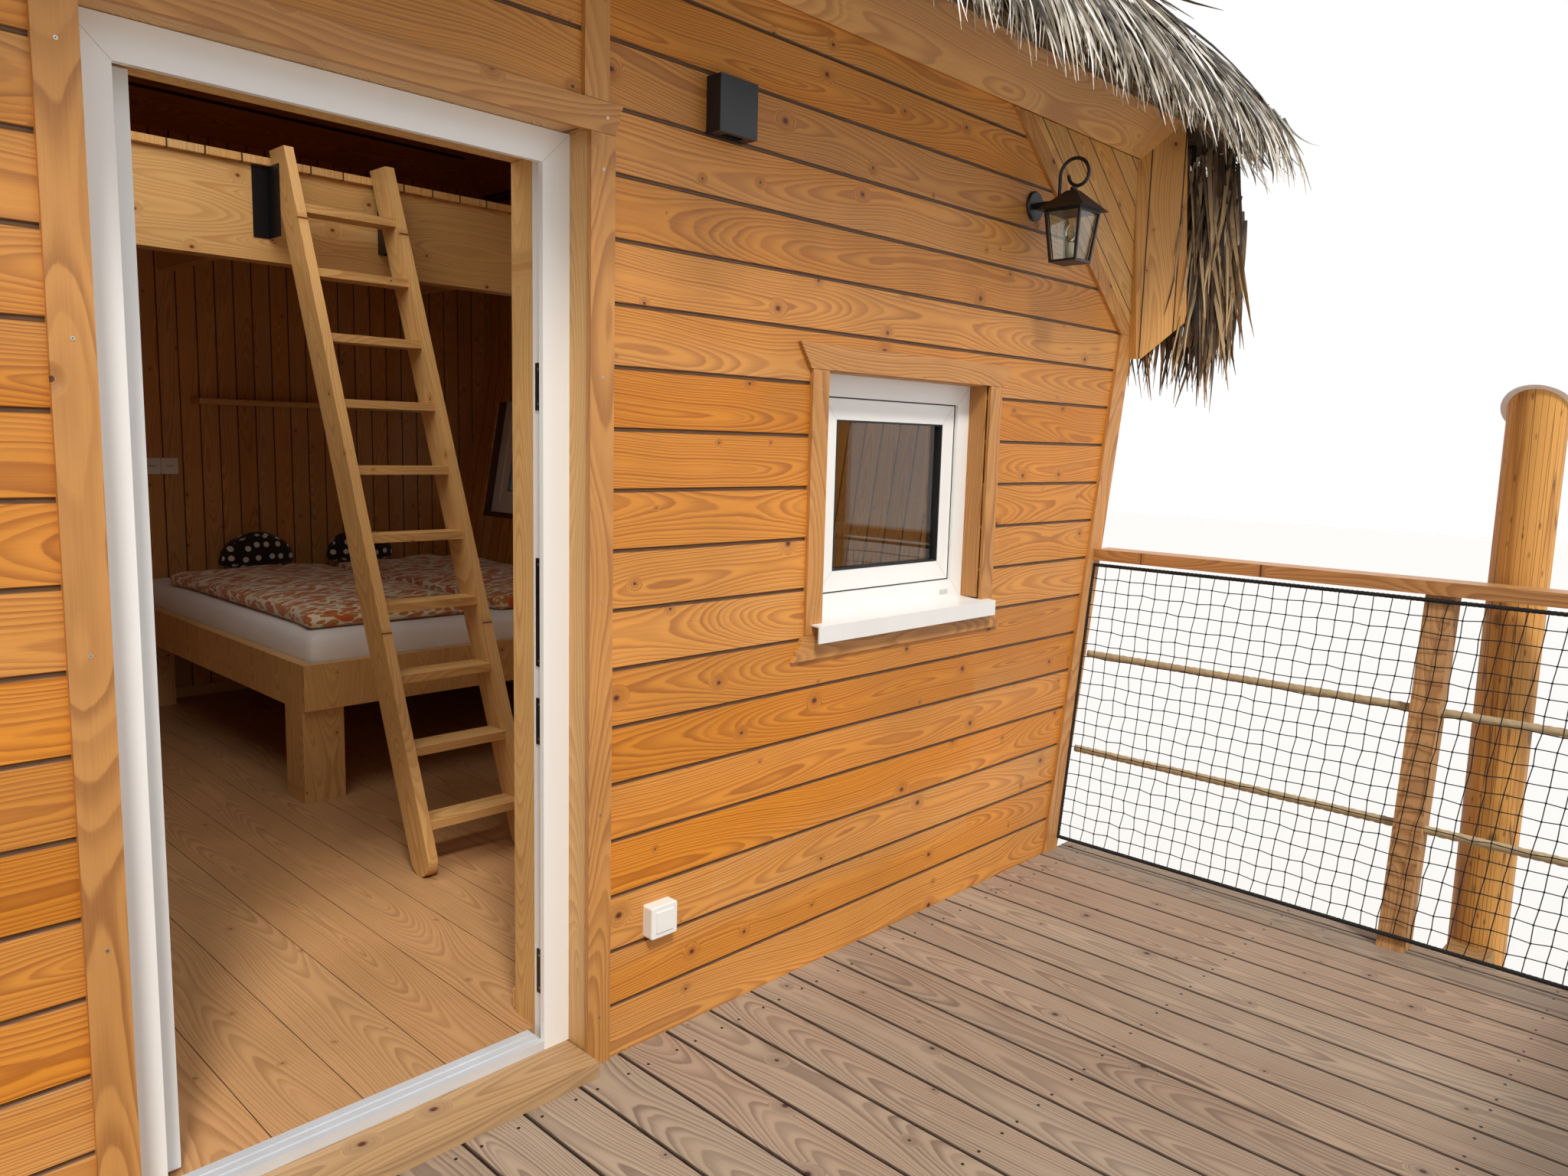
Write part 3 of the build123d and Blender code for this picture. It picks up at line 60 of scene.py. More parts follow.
# Places read from the frame, in metres
wall_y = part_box("front_wall_middle")[0][1]
room_front_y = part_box("front_wall_middle")[1][1]
back_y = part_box("back_wall")[1][1]
room_back_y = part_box("back_wall")[0][1]
deck_low, deck_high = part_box("deck")
deck_z = deck_high[2]
floor_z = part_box("cabin_floor")[1][2]
doorway_x = (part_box("front_wall_over_door")[0][0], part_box("front_wall_over_door")[1][0])
doorway_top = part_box("front_wall_over_door")[0][2]
window_x = (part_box("front_wall_over_window")[0][0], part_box("front_wall_over_window")[1][0])
window_z = (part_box("front_wall_under_window")[1][2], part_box("front_wall_over_window")[0][2])
eave_low_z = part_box("front_eave_boards")[0][2]
roof_low, roof_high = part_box("roof_hips")
eave_x, eave_z = roof_high[0], roof_low[2]
eave_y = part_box("roof_slopes")[0][1]
middle_y = (wall_y + back_y) / 2

# Sizes of the real object, in metres
base_half_width = 2.270      # at the deck, where the leaning walls start
wall_lean = radians(9.9)
knee_rise = 1.918            # above the deck, where the walls stop leaning
wall_thickness = 0.180
roof_slope = radians(38.75)
roof_board = 0.060
thatch_depth = 0.190
roof_half_depth = middle_y - eave_y
roof_rise = roof_board / cos(roof_slope)
roof_top = roof_rise + thatch_depth / cos(roof_slope)
board_pitch = 0.138          # cladding, board and groove
lining_pitch = 0.093
deck_pitch = 0.150
mesh_pitch = 0.048           # cord to cord in the railing net
side_window_y = room_back_y - 0.625
window_width, window_height = 0.774, 0.700

# Figure of the wood, in cells per metre along and across its grain
fibre_cells = (7, 330, 330)  # 3 mm wide: real fibres are finer and wouldn't show
knot_cells = (2.7, 7.2, 1.0)
wobble_cells = (6, 24, 24)
heart_cells = (0.75, 0.0, 0.0)
blotch_scale = 2.3
# Painted shade in the grooves and seams between boards
painted_groove_shade = "#2a160a"
rain_grey = "#9d9488"


# Colours and nodes

def srgb(code, alpha=1.0):
    """A hex colour as seen on a screen, turned to linear values."""
    channels = [int(code[i:i + 2], 16) / 255 for i in (1, 3, 5)]
    linear = [c / 12.92 if c <= 0.04045 else ((c + 0.055) / 1.055) ** 2.4 for c in channels]
    return (*linear, alpha)


def feed(tree, node, inputs):
    """Sets inputs to values, to outputs of other nodes, or to nodes, which give their first output."""
    for socket, value in inputs.items():
        if isinstance(value, bpy.types.Node):
            value = value.outputs[0]
        if isinstance(value, bpy.types.NodeSocket):
            tree.links.new(value, node.inputs[socket])
        else:
            node.inputs[socket].default_value = value


def add(tree, kind, inputs=None, stops=None, **settings):
    """Adds a node with its settings, its inputs and, on a colour ramp, its stops."""
    made = tree.nodes.new(kind)
    for key, value in settings.items():
        setattr(made, key, value)
    if stops:
        elements = made.color_ramp.elements
        while len(elements) < len(stops):
            elements.new(0.5)
        for element, (position, code) in zip(elements, stops):
            element.position = position
            element.color = srgb(code)
    feed(tree, made, inputs or {})
    return made


def start_material(name):
    """An empty material with its principled shader and output."""
    made = bpy.data.materials.new(name)
    made.use_nodes = True
    tree = made.node_tree
    tree.nodes.clear()
    shader = add(tree, "ShaderNodeBsdfPrincipled")
    add(tree, "ShaderNodeOutputMaterial", {"Surface": shader})
    return made, tree, shader


def turn_to(along, across):
    """Euler angles that bring along onto X and across onto Y."""
    along, across = Vector(along).normalized(), Vector(across).normalized()
    return Matrix((along, across, along.cross(across))).to_euler()


def swaying(tree, value, reach):
    """Swings a length to and fro within a reach, with a slope of one in the middle of each swing."""
    swing = add(tree, "ShaderNodeMath", {0: value, 1: reach}, operation="DIVIDE")
    swing = add(tree, "ShaderNodeMath", {0: swing}, operation="SINE")
    return add(tree, "ShaderNodeMath", {0: swing, 1: reach}, operation="MULTIPLY")


def grain_place(tree, along, across, mirrored, bands):
    """The place on the object, and that place turned so that the grain runs along X."""
    place = add(tree, "ShaderNodeTexCoord").outputs["Object"]
    parts = add(tree, "ShaderNodeSeparateXYZ", {0: place})
    if mirrored:
        side = add(tree, "ShaderNodeMath", {0: parts.outputs[0]}, operation="ABSOLUTE")
        place = add(tree, "ShaderNodeCombineXYZ", {0: side, 1: parts.outputs[1], 2: parts.outputs[2]})
    grain = add(tree, "ShaderNodeMapping", {0: place, "Rotation": turn_to(along, across)})
    for axis, low, high, other_along, other_across in bands:
        above = add(tree, "ShaderNodeMath", {0: parts.outputs[axis], 1: low}, operation="GREATER_THAN")
        below = add(tree, "ShaderNodeMath", {0: parts.outputs[axis], 1: high}, operation="LESS_THAN")
        inside = add(tree, "ShaderNodeMath", {0: above, 1: below}, operation="MULTIPLY")
        other = add(tree, "ShaderNodeMapping", {0: place, "Rotation": turn_to(other_along, other_across)})
        grain = add(tree, "ShaderNodeMix", {0: inside, 4: grain, 5: other}, data_type="VECTOR").outputs[1]
    return place, grain


def board_place(tree, grain, seam, joint, solid):
    """Each board's tone, the place across it from its middle, and the painted shade of the groove at its
    edges.
    """
    if seam:
        # Boards drawn on one solid, seams a pitch apart counted from the phase, with painted shade in each
        # groove
        pitch, phase = seam
        rise = add(tree, "ShaderNodeSeparateXYZ", {0: grain}).outputs[1]
        row = add(tree, "ShaderNodeMath", {0: rise, 1: 1 / pitch, 2: -phase / pitch},
                  operation="MULTIPLY_ADD")
        whole = add(tree, "ShaderNodeMath", {0: row}, operation="FLOOR")
        share = add(tree, "ShaderNodeMath", {0: row, 1: whole}, operation="SUBTRACT")
        tone = add(tree, "ShaderNodeTexWhiteNoise", {"W": whole}, noise_dimensions="1D")
        middle = add(tree, "ShaderNodeMath", {0: share, 1: 0.5}, operation="SUBTRACT")
        edge = add(tree, "ShaderNodeMath", {0: middle}, operation="ABSOLUTE")
        groove = add(tree, "ShaderNodeMapRange",
                     {0: edge, 1: 0.5 - joint / pitch, 2: 0.5 - joint * 0.3 / pitch},
                     interpolation_type="SMOOTHSTEP")
        beside = add(tree, "ShaderNodeMath", {0: middle, 1: pitch}, operation="MULTIPLY")
        return tone, beside, groove
    tone = add(tree, "ShaderNodeAttribute", attribute_name="tone").outputs["Fac"]
    if solid:
        rise = add(tree, "ShaderNodeSeparateXYZ", {0: grain}).outputs[1]
        return tone, swaying(tree, rise, 0.06), None
    beside = add(tree, "ShaderNodeAttribute", attribute_name="beside").outputs["Fac"]
    half = add(tree, "ShaderNodeAttribute", attribute_name="half").outputs["Fac"]
    rim = add(tree, "ShaderNodeMath", {0: beside}, operation="ABSOLUTE")
    rim = add(tree, "ShaderNodeMath", {0: half, 1: rim}, operation="SUBTRACT")
    # Painted shade from 4 mm off each edge, where the board is eased into its groove
    groove = add(tree, "ShaderNodeMapRange", {0: rim, 1: 0.0042, 2: 0.0012, 3: 0.0, 4: 0.85},
                 interpolation_type="SMOOTHSTEP")
    return tone, beside, groove


def knot_masks(tree, spot, largest):
    """Knots, one in most cells of a long grid and each of its own size: core, halo and the way to it."""
    cell = add(tree, "ShaderNodeVectorMath", {0: spot, 1: knot_cells}, operation="MULTIPLY")
    scatter = add(tree, "ShaderNodeTexVoronoi", {"Vector": cell, "Scale": 1.0}, voronoi_dimensions="2D")
    away = add(tree, "ShaderNodeVectorMath", {0: cell, 1: scatter.outputs["Position"]},
               operation="SUBTRACT")
    away = add(tree, "ShaderNodeVectorMath", {0: away, 1: (0.8 / knot_cells[0], 1 / knot_cells[1], 0)},
               operation="MULTIPLY")
    distance = add(tree, "ShaderNodeVectorMath", {0: away}, operation="LENGTH").outputs["Value"]
    size = add(tree, "ShaderNodeMapRange",
               {0: scatter.outputs["Color"], 1: 0.3, 2: 0.8, 3: 0.0001, 4: largest})
    relative = add(tree, "ShaderNodeMath", {0: distance, 1: size}, operation="DIVIDE")
    core = add(tree, "ShaderNodeMapRange", {0: relative, 1: 0.5, 2: 1.05, 3: 1.0, 4: 0.0},
               interpolation_type="SMOOTHSTEP")
    halo = add(tree, "ShaderNodeMapRange", {0: relative, 1: 1.0, 2: 4.2, 3: 1.0, 4: 0.0},
               interpolation_type="SMOOTHSTEP")
    return core, halo, distance


def heart_distance(tree, spot, grain, beside, tone, solid):
    """The way to the log's heart, which wanders beside and behind the board, so rings show as arches."""
    travel = add(tree, "ShaderNodeVectorMath", {0: spot, 1: heart_cells}, operation="MULTIPLY")
    apart = add(tree, "ShaderNodeVectorMath", {0: (0, 13.7, 5.1), "Scale": tone}, operation="SCALE")
    travel = add(tree, "ShaderNodeVectorMath", {0: travel, 1: apart}, operation="ADD")
    heart = add(tree, "ShaderNodeTexNoise", {"Vector": travel, "Scale": 1.0, "Detail": 1.5}).outputs[1]
    heart = add(tree, "ShaderNodeSeparateXYZ", {0: heart})
    aside = add(tree, "ShaderNodeMath", {0: heart.outputs[0], 1: -0.30, 2: 0.15}, operation="MULTIPLY_ADD")
    aside = add(tree, "ShaderNodeMath", {0: aside, 1: beside}, operation="ADD")
    behind = add(tree, "ShaderNodeMath", {0: heart.outputs[1], 1: 0.26, 2: -0.08}, operation="MULTIPLY_ADD")
    if solid:
        inwards = add(tree, "ShaderNodeSeparateXYZ", {0: grain})
        inwards = swaying(tree, inwards.outputs[2], 0.04)
        behind = add(tree, "ShaderNodeMath", {0: behind, 1: inwards}, operation="ADD")
    radius = add(tree, "ShaderNodeCombineXYZ", {0: aside, 1: behind})
    radius = add(tree, "ShaderNodeVectorMath", {0: radius}, operation="LENGTH").outputs["Value"]
    bent = add(tree, "ShaderNodeVectorMath", {0: spot, 1: wobble_cells}, operation="MULTIPLY")
    wobble = add(tree, "ShaderNodeTexNoise", {"Vector": bent, "Scale": 1.0, "Detail": 3.0})
    return add(tree, "ShaderNodeMath", {0: wobble, 1: 0.004 if solid else 0.006, 2: radius},
               operation="MULTIPLY_ADD")


def year_rings(tree, radius, ring, contrast):
    """Pale early wood that rises to a dark edge each year, and how dark each year's edge is."""
    count = add(tree, "ShaderNodeMath", {0: radius, 1: ring}, operation="DIVIDE")
    growth = add(tree, "ShaderNodeTexNoise", {"W": count, "Scale": 0.3, "Detail": 1.0},
                 noise_dimensions="1D")
    count = add(tree, "ShaderNodeMath", {0: growth, 1: 2.0, 2: count}, operation="MULTIPLY_ADD")
    year = add(tree, "ShaderNodeMath", {0: count}, operation="FRACT")
    summer = add(tree, "ShaderNodeMath", {0: count}, operation="FLOOR")
    summer = add(tree, "ShaderNodeTexWhiteNoise", {"W": summer}, noise_dimensions="1D")
    summer = add(tree, "ShaderNodeMapRange", {0: summer, 3: contrast * 0.45, 4: contrast * 1.25})
    rise = add(tree, "ShaderNodeMapRange", {0: year, 1: 0.15, 2: 0.85}, interpolation_type="SMOOTHSTEP")
    fall = add(tree, "ShaderNodeMapRange", {0: year, 1: 0.86, 2: 1.0}, interpolation_type="SMOOTHSTEP")
    wave = add(tree, "ShaderNodeMath", {0: rise, 1: fall}, operation="SUBTRACT")
    return wave, summer


def wood(name, light, dark, knot, along, across, ring=0.006, seam=None, tone=0.22, roughness=0.5,
         knots=0.009, bands=(), mirrored=False, weather=0.0, contrast=0.48, solid=True,
         joint=0.0035):
    """Flat-sawn softwood: rings of a slowly wandering heart, knots with eyes round them, and fibre.

    Grain runs along one direction and boards lie side by side across it. bands are
    (axis, low, high, along, across) slabs of space in which the grain runs another way.
    solid pieces show their figure on every face; laid boards carry it as attributes.
    Ring width, largest knot and joint are in metres, seam is (pitch, phase) in metres.
    """
    made, tree, shader = start_material(name)
    place, grain = grain_place(tree, along, across, mirrored, bands)
    board_tone, beside, groove = board_place(tree, grain, seam, joint, solid)
    # A jump from board to board, so that no two share a figure
    shift = add(tree, "ShaderNodeVectorMath", {0: (7.3, 3.1, 1.7), "Scale": board_tone}, operation="SCALE")
    spot = add(tree, "ShaderNodeVectorMath", {0: grain, 1: shift}, operation="ADD")
    core, halo, distance = knot_masks(tree, spot, knots)
    radius = heart_distance(tree, spot, grain, beside, board_tone, solid)
    # Near a knot the rings run round it
    radius = add(tree, "ShaderNodeMix", {0: halo, 2: radius, 3: distance})
    wave, summer = year_rings(tree, radius, ring, contrast)
    fine = add(tree, "ShaderNodeVectorMath", {0: spot, 1: fibre_cells}, operation="MULTIPLY")
    fibre = add(tree, "ShaderNodeTexNoise", {"Vector": fine, "Scale": 1.0, "Detail": 3.0})
    blotch = add(tree, "ShaderNodeTexNoise", {"Vector": place, "Scale": blotch_scale, "Detail": 3.0})

    # Colour: late wood over early wood, then each board's own brightness and warmth
    late = add(tree, "ShaderNodeMath", {0: wave, 1: summer}, operation="MULTIPLY")
    late = add(tree, "ShaderNodeMath", {0: fibre, 1: 0.34, 2: late}, operation="MULTIPLY_ADD")
    late = add(tree, "ShaderNodeMath", {0: halo, 1: 0.22, 2: late}, operation="MULTIPLY_ADD")
    colour = add(tree, "ShaderNodeMix", {0: late, 6: srgb(light), 7: srgb(dark)},
                 data_type="RGBA").outputs[2]
    brightness = add(tree, "ShaderNodeMapRange", {0: board_tone, 3: 1 - tone / 2, 4: 1 + tone / 2})
    patch = add(tree, "ShaderNodeMapRange", {0: blotch, 1: 0.3, 2: 0.7, 3: 0.9, 4: 1.1})
    brightness = add(tree, "ShaderNodeMath", {0: brightness, 1: patch}, operation="MULTIPLY")
    warmth = add(tree, "ShaderNodeTexWhiteNoise", {"W": board_tone}, noise_dimensions="1D")
    richness = add(tree, "ShaderNodeMapRange", {0: warmth, 3: 1 + tone * 0.27, 4: 1 - tone * 0.36})
    warmth = add(tree, "ShaderNodeMapRange", {0: warmth, 3: 0.5 - tone * 0.023, 4: 0.5 + tone * 0.027})
    colour = add(tree, "ShaderNodeHueSaturation",
                 {"Hue": warmth, "Saturation": richness, "Value": brightness, "Color": colour})
    if weather:
        # Greyed by rain, more in broad patches
        grey = add(tree, "ShaderNodeMapRange", {0: blotch, 1: 0.35, 2: 0.65, 3: weather / 2, 4: weather})
        colour = add(tree, "ShaderNodeMix", {0: grey, 6: colour, 7: srgb(rain_grey)},
                     data_type="RGBA").outputs[2]
    colour = add(tree, "ShaderNodeMix", {0: core, 6: colour, 7: srgb(knot)}, data_type="RGBA").outputs[2]
    relief = add(tree, "ShaderNodeMath", {0: fibre, 1: 0.6, 2: wave}, operation="MULTIPLY_ADD")
    # Painted shade in the groove at each board's edge
    if groove:
        colour = add(tree, "ShaderNodeMix", {0: groove, 6: colour, 7: srgb(painted_groove_shade)},
                     data_type="RGBA").outputs[2]
    if seam:
        relief = add(tree, "ShaderNodeMath", {0: groove, 1: -9.0, 2: relief}, operation="MULTIPLY_ADD")
    bump = add(tree, "ShaderNodeBump", {"Strength": 0.5, "Distance": 0.0006, "Height": relief})
    rough = add(tree, "ShaderNodeMapRange", {0: fibre, 3: roughness - 0.1, 4: roughness + 0.12})
    feed(tree, shader, {"Base Color": colour, "Roughness": rough, "Normal": bump})
    return made


def plain(name, code, roughness, metallic=0.0, grain=0.0, scale=400.0, spread=0.06):
    """A smooth surface with a slight variation of colour and gloss, and a fine relief in metres."""
    made, tree, shader = start_material(name)
    place = add(tree, "ShaderNodeTexCoord").outputs["Object"]
    cloud = add(tree, "ShaderNodeTexNoise", {"Vector": place, "Scale": 9.0, "Detail": 4.0})
    value = add(tree, "ShaderNodeMapRange", {0: cloud, 1: 0.3, 2: 0.7, 3: 1 - spread, 4: 1 + spread})
    colour = add(tree, "ShaderNodeHueSaturation", {"Value": value, "Color": srgb(code)})
    uneven = roughness * min(0.15, spread * 2)
    rough = add(tree, "ShaderNodeMapRange",
                {0: cloud, 1: 0.3, 2: 0.7, 3: roughness - uneven, 4: roughness + uneven})
    feed(tree, shader, {"Base Color": colour, "Roughness": rough, "Metallic": metallic})
    if grain:
        pits = add(tree, "ShaderNodeTexNoise", {"Vector": place, "Scale": scale, "Detail": 2.0})
        bump = add(tree, "ShaderNodeBump", {"Strength": 0.6, "Distance": grain, "Height": pits})
        feed(tree, shader, {"Normal": bump})
    return made


level, up, depth = (1, 0, 0), (0, 0, 1), (0, 1, 0)

# Oiled larch cladding, planed: honey to red-brown boards with arched rings and dark grooves of painted shade
larch = ("#d9923a", "#92501b", "#54270f")
larch_x = wood("oiled_larch_level", *larch, level, up, solid=False)
larch_y = wood("oiled_larch_side", *larch, depth, up, solid=False)
# Oiled larch trim, planed: a shade paler and more even than the cladding, grain along each board
door_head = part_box("front_wall_over_door")[0][2] - 0.0155
head_board = 0.066
window_reach = 0.2           # beyond the outer edges of the window's level boards
larch_trim = ("#d0934c", "#935826", larch[2])
larch_door = wood("oiled_larch_door_boards", *larch_trim, up, level,
                  bands=[(2, door_head, door_head + head_board, level, up)], tone=0.1)
larch_window = wood("oiled_larch_window_boards", *larch_trim, up, level,
                    bands=[(2, window_z[0] - window_reach, window_z[0] - 0.0225, level, up),
                           (2, window_z[1] - 0.0125, window_z[1] + window_reach, level, up)], tone=0.1)
slope_in, slope_up = cos(roof_slope), sin(roof_slope)
larch_corner = wood("oiled_larch_corner_boards", *larch_trim,
                    (sin(wall_lean), 0, cos(wall_lean)), (cos(wall_lean), 0, -sin(wall_lean)),
                    mirrored=True, tone=0.1,
                    bands=[(2, deck_z + knee_rise, 9, (-slope_in, 0, slope_up), (slope_up, 0, slope_in))])
# Oiled spruce eave boards, planed: paler and yellower than larch, with wide figure and larger knots
spruce = ("#daa255", "#a9692b", "#653415")
spruce_eave = wood("oiled_spruce_eave_boards", *spruce, level,
                   (0, slope_in, slope_up), tone=0.1, knots=0.014, contrast=0.45)
spruce_eave_side = wood("oiled_spruce_side_eave", *spruce, depth, up, tone=0.1,
                        knots=0.014, contrast=0.45)
# Planed spruce, tongued and grooved: finer rings, a thin shadow at each tongue
spruce_gable = wood("spruce_gable_boards", *spruce, (-slope_in, 0, slope_up),
                    (slope_up, 0, slope_in), mirrored=True, seam=(0.096, 0.0), tone=0.16, knots=0.007)
spruce_hip = wood("spruce_hip_boards", *spruce, up, (1, -1, 0), mirrored=True,
                  seam=(0.121, 0.03), tone=0.12, knots=0.008)
spruce_skirt = wood("spruce_skirt_boards", *spruce, up, depth, seam=(0.121, 0.0),
                    tone=0.14, knots=0.008)
spruce_roof = wood("spruce_roof_boards", *spruce, level, (0, slope_in, slope_up),
                   seam=(0.121, 0.0), tone=0.16, knots=0.008)
spruce_roof_side = wood("spruce_roof_side_boards", *spruce, depth,
                        (slope_in, 0, slope_up), mirrored=True, seam=(0.121, 0.0), tone=0.16, knots=0.008)
# Spruce lining boards, planed and stained: redder, and darker as painted shade so the room reads as warm and
# shaded
lining = ("#cf9550", "#a2642c", spruce[2])
lining_wood = wood("spruce_lining_boards", *lining, up, level, tone=0.18,
                   knots=0.006, ring=0.005, solid=False)
lining_wood_side = wood("spruce_side_lining", *lining, up, depth, tone=0.18,
                        knots=0.006, ring=0.005, solid=False)
# Sanded spruce joinery: the palest wood here, smooth and satin
planed = ("#dfb271", "#bb8549", "#74421f")
joinery = wood("planed_spruce_joinery", *planed, level, up, tone=0.1,
               knots=0.008, roughness=0.42)
joinery_up = wood("planed_spruce_upright", *planed, up, level, tone=0.1,
                  knots=0.008, roughness=0.42)
joinery_deep = wood("planed_spruce_loft", *planed, depth, level, tone=0.2,
                    knots=0.008, roughness=0.42, solid=False)
ladder_up, ladder_out = (0, 0.375, 0.927), (0, 0.927, -0.375)
ladder_wood = wood("planed_spruce_ladder", *planed, ladder_up, ladder_out, tone=0.1, knots=0.009,
                   roughness=0.4)
# Rough-sawn spruce, left bare: dull and brownish, its torn fibres give no gloss
bare = ("#b98e58", "#8a6236", "#4a2c16")
sawn = wood("rough_sawn_spruce", *bare, level, up, tone=0.15, roughness=0.75)
sawn_deep = wood("rough_sawn_bearers", *bare, depth, up, tone=0.15, roughness=0.75)
# Larch deck boards, weathered by feet and rain: greyed, with bold raised rings
deck_wood = wood("weathered_larch_deck", "#ad947a", "#654c3a", "#402b1f", depth, level, tone=0.3,
                 roughness=0.72, weather=0.3, ring=0.007, contrast=0.62, solid=False)
# Pressure-treated pine posts, planed: yellow-brown and rather dull
post_wood = wood("pressure_treated_pine", "#d1a068", "#99693b", "#55381e", up, level, tone=0.1,
                 roughness=0.6)
# Oiled rail board, rubbed by hands: closed grain with a satin gloss; the front rails run level
rail_wood = wood("oiled_rail_board", "#d0985c", "#965f2d", "#54301a", depth, level, tone=0.1, roughness=0.42,
                 bands=[(1, -9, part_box("top_rails")[0][1] + 0.11, level, depth)])

# Extruded window plastic: white, even, soft gloss
white_plastic = plain("white_window_plastic", "#efeeea", 0.26, spread=0.006)
# Welded plastic bead: the same plastic melted and trimmed, a little greyer and duller
weld_plastic = plain("welded_plastic_bead", "#c9c9c4", 0.35, spread=0.02)
# Moulded seal rubber: deep black, dull; also painted shade for the hollows of screw recesses and socket
# dishes
seal_rubber = plain("black_seal_rubber", "#141414", 0.55, spread=0.1)
# Powder-coated steel: black with the fine orange peel of baked powder
black_steel = plain("powder_coated_steel", "#15161a", 0.42, grain=0.00006, scale=900)
# Zinc-plated steel plate gone dark, and bright zinc screws: cloudy grey metal
dark_zinc = plain("dark_zinc_plate", "#4a4a48", 0.4, metallic=1.0, spread=0.12)
zinc = plain("bright_zinc_screws", "#b9b4a6", 0.35, metallic=1.0, spread=0.1)
# Mill-finish aluminium: pale metal with a faint haze from rolling
mill_aluminium = plain("mill_aluminium", "#b4b5b6", 0.33, metallic=1.0, grain=0.00003, scale=260)
# Coated sheet for the sills: near-white paint, smooth
sill_metal = plain("coated_sill_metal", "#e4e3df", 0.3, spread=0.03)
# Moulded switch plastic: white with a spark-eroded grain, drawn at 3 mm so that it shows
switch_plastic = plain("white_switch_plastic", "#ebeae4", 0.3, spread=0.01, grain=0.00001, scale=300)
# Cast wax sleeve: ivory, soft
candle_wax = plain("ivory_candle_sleeve", "#e9dfc6", 0.45)


def clear_glass(name, code, roughness):
    """Float glass: colourless, flat and sharply reflecting, with a faint film of dust."""
    made, tree, shader = start_material(name)
    place = add(tree, "ShaderNodeTexCoord").outputs["Object"]
    film = add(tree, "ShaderNodeTexNoise", {"Vector": place, "Scale": 5.0, "Detail": 5.0})
    rough = add(tree, "ShaderNodeMapRange", {0: film, 1: 0.4, 2: 0.8, 3: 0.0, 4: roughness})
    feed(tree, shader, {"Base Color": srgb(code), "Roughness": rough, "Transmission Weight": 1.0,
                        "IOR": 1.45})
    return made


glass = clear_glass("float_glass", "#e9f0ec", 0.012)   # faintly green, as seen through its thickness


def leaf_material(name, bleached, pale, brown, shade):
    """Dried palm leaf: silvery straw with a rough skin and a tone of its own; painted shade at its root."""
    made, tree, shader = start_material(name)
    leaf_tone = add(tree, "ShaderNodeAttribute", attribute_name="tone").outputs["Fac"]
    reach = add(tree, "ShaderNodeAttribute", attribute_name="reach").outputs["Fac"]
    place = add(tree, "ShaderNodeTexCoord").outputs["Object"]
    blotch = add(tree, "ShaderNodeTexNoise", {"Vector": place, "Scale": 26.0, "Detail": 4.0})
    mixed = add(tree, "ShaderNodeMath", {0: blotch, 1: 0.5, 2: leaf_tone}, operation="MULTIPLY_ADD")
    # The darkest stop is painted shade, for the gaps between the leaves
    colour = add(tree, "ShaderNodeValToRGB", {0: mixed},
                 stops=[(0.3, shade), (0.6, brown), (0.9, pale), (1.0, bleached)])
    # Painted shade towards the root, where the leaves lie under others, and painted light at the tip
    root_shade = add(tree, "ShaderNodeMapRange", {0: reach, 1: 0.0, 2: 1.0, 3: 0.3, 4: 1.15})
    colour = add(tree, "ShaderNodeHueSaturation", {"Value": root_shade, "Color": colour})
    skin = add(tree, "ShaderNodeTexNoise", {"Vector": place, "Scale": 240.0, "Detail": 2.0})
    bump = add(tree, "ShaderNodeBump", {"Strength": 0.5, "Distance": 0.001, "Height": skin})
    feed(tree, shader, {"Base Color": colour, "Normal": bump, "Roughness": 0.62})
    return made


# Sun-bleached leaves on the roof, their palest stop partly painted highlight; under the eave a browner copy,
# partly painted shade
leaf_dry = leaf_material("dried_palm_leaf", "#f3eee4", "#cdc3b0", "#7d6f58", "#2a2118")
leaf_shaded = leaf_material("dried_palm_leaf_shaded", "#b89a70", "#8a6c45", "#523a20", "#24180e")
# Packed leaf stems: coarse and matte, seen only between the leaves; their dark brown is partly painted shade
# for the gaps
thatch_bed = plain("packed_thatch_bed", "#54452f", 0.9, grain=0.01, scale=60, spread=0.35)


def rope_material(name, light, dark, scale):
    """Laid fibre rope: matte, with hairs that run round the strands."""
    made, tree, shader = start_material(name)
    place = add(tree, "ShaderNodeTexCoord").outputs["Object"]
    hair = add(tree, "ShaderNodeTexNoise", {"Vector": place, "Scale": scale, "Detail": 5.0})
    colour = add(tree, "ShaderNodeMix", {0: hair, 6: srgb(dark), 7: srgb(light)}, data_type="RGBA").outputs[2]
    bump = add(tree, "ShaderNodeBump", {"Strength": 0.7, "Distance": 0.0008, "Height": hair})
    feed(tree, shader, {"Base Color": colour, "Normal": bump, "Roughness": 0.9})
    return made


# Laid hemp: pale straw fibre, dry. Braided net cord: black, faintly hairy.
# Their hairs are drawn about 2 mm wide, far coarser than real ones, so that they show
hemp = rope_material("laid_hemp_rope", "#d9c6a0", "#8f7a55", 420)
net_cord = rope_material("braided_black_cord", "#1c1c1c", "#0b0b0b", 700)


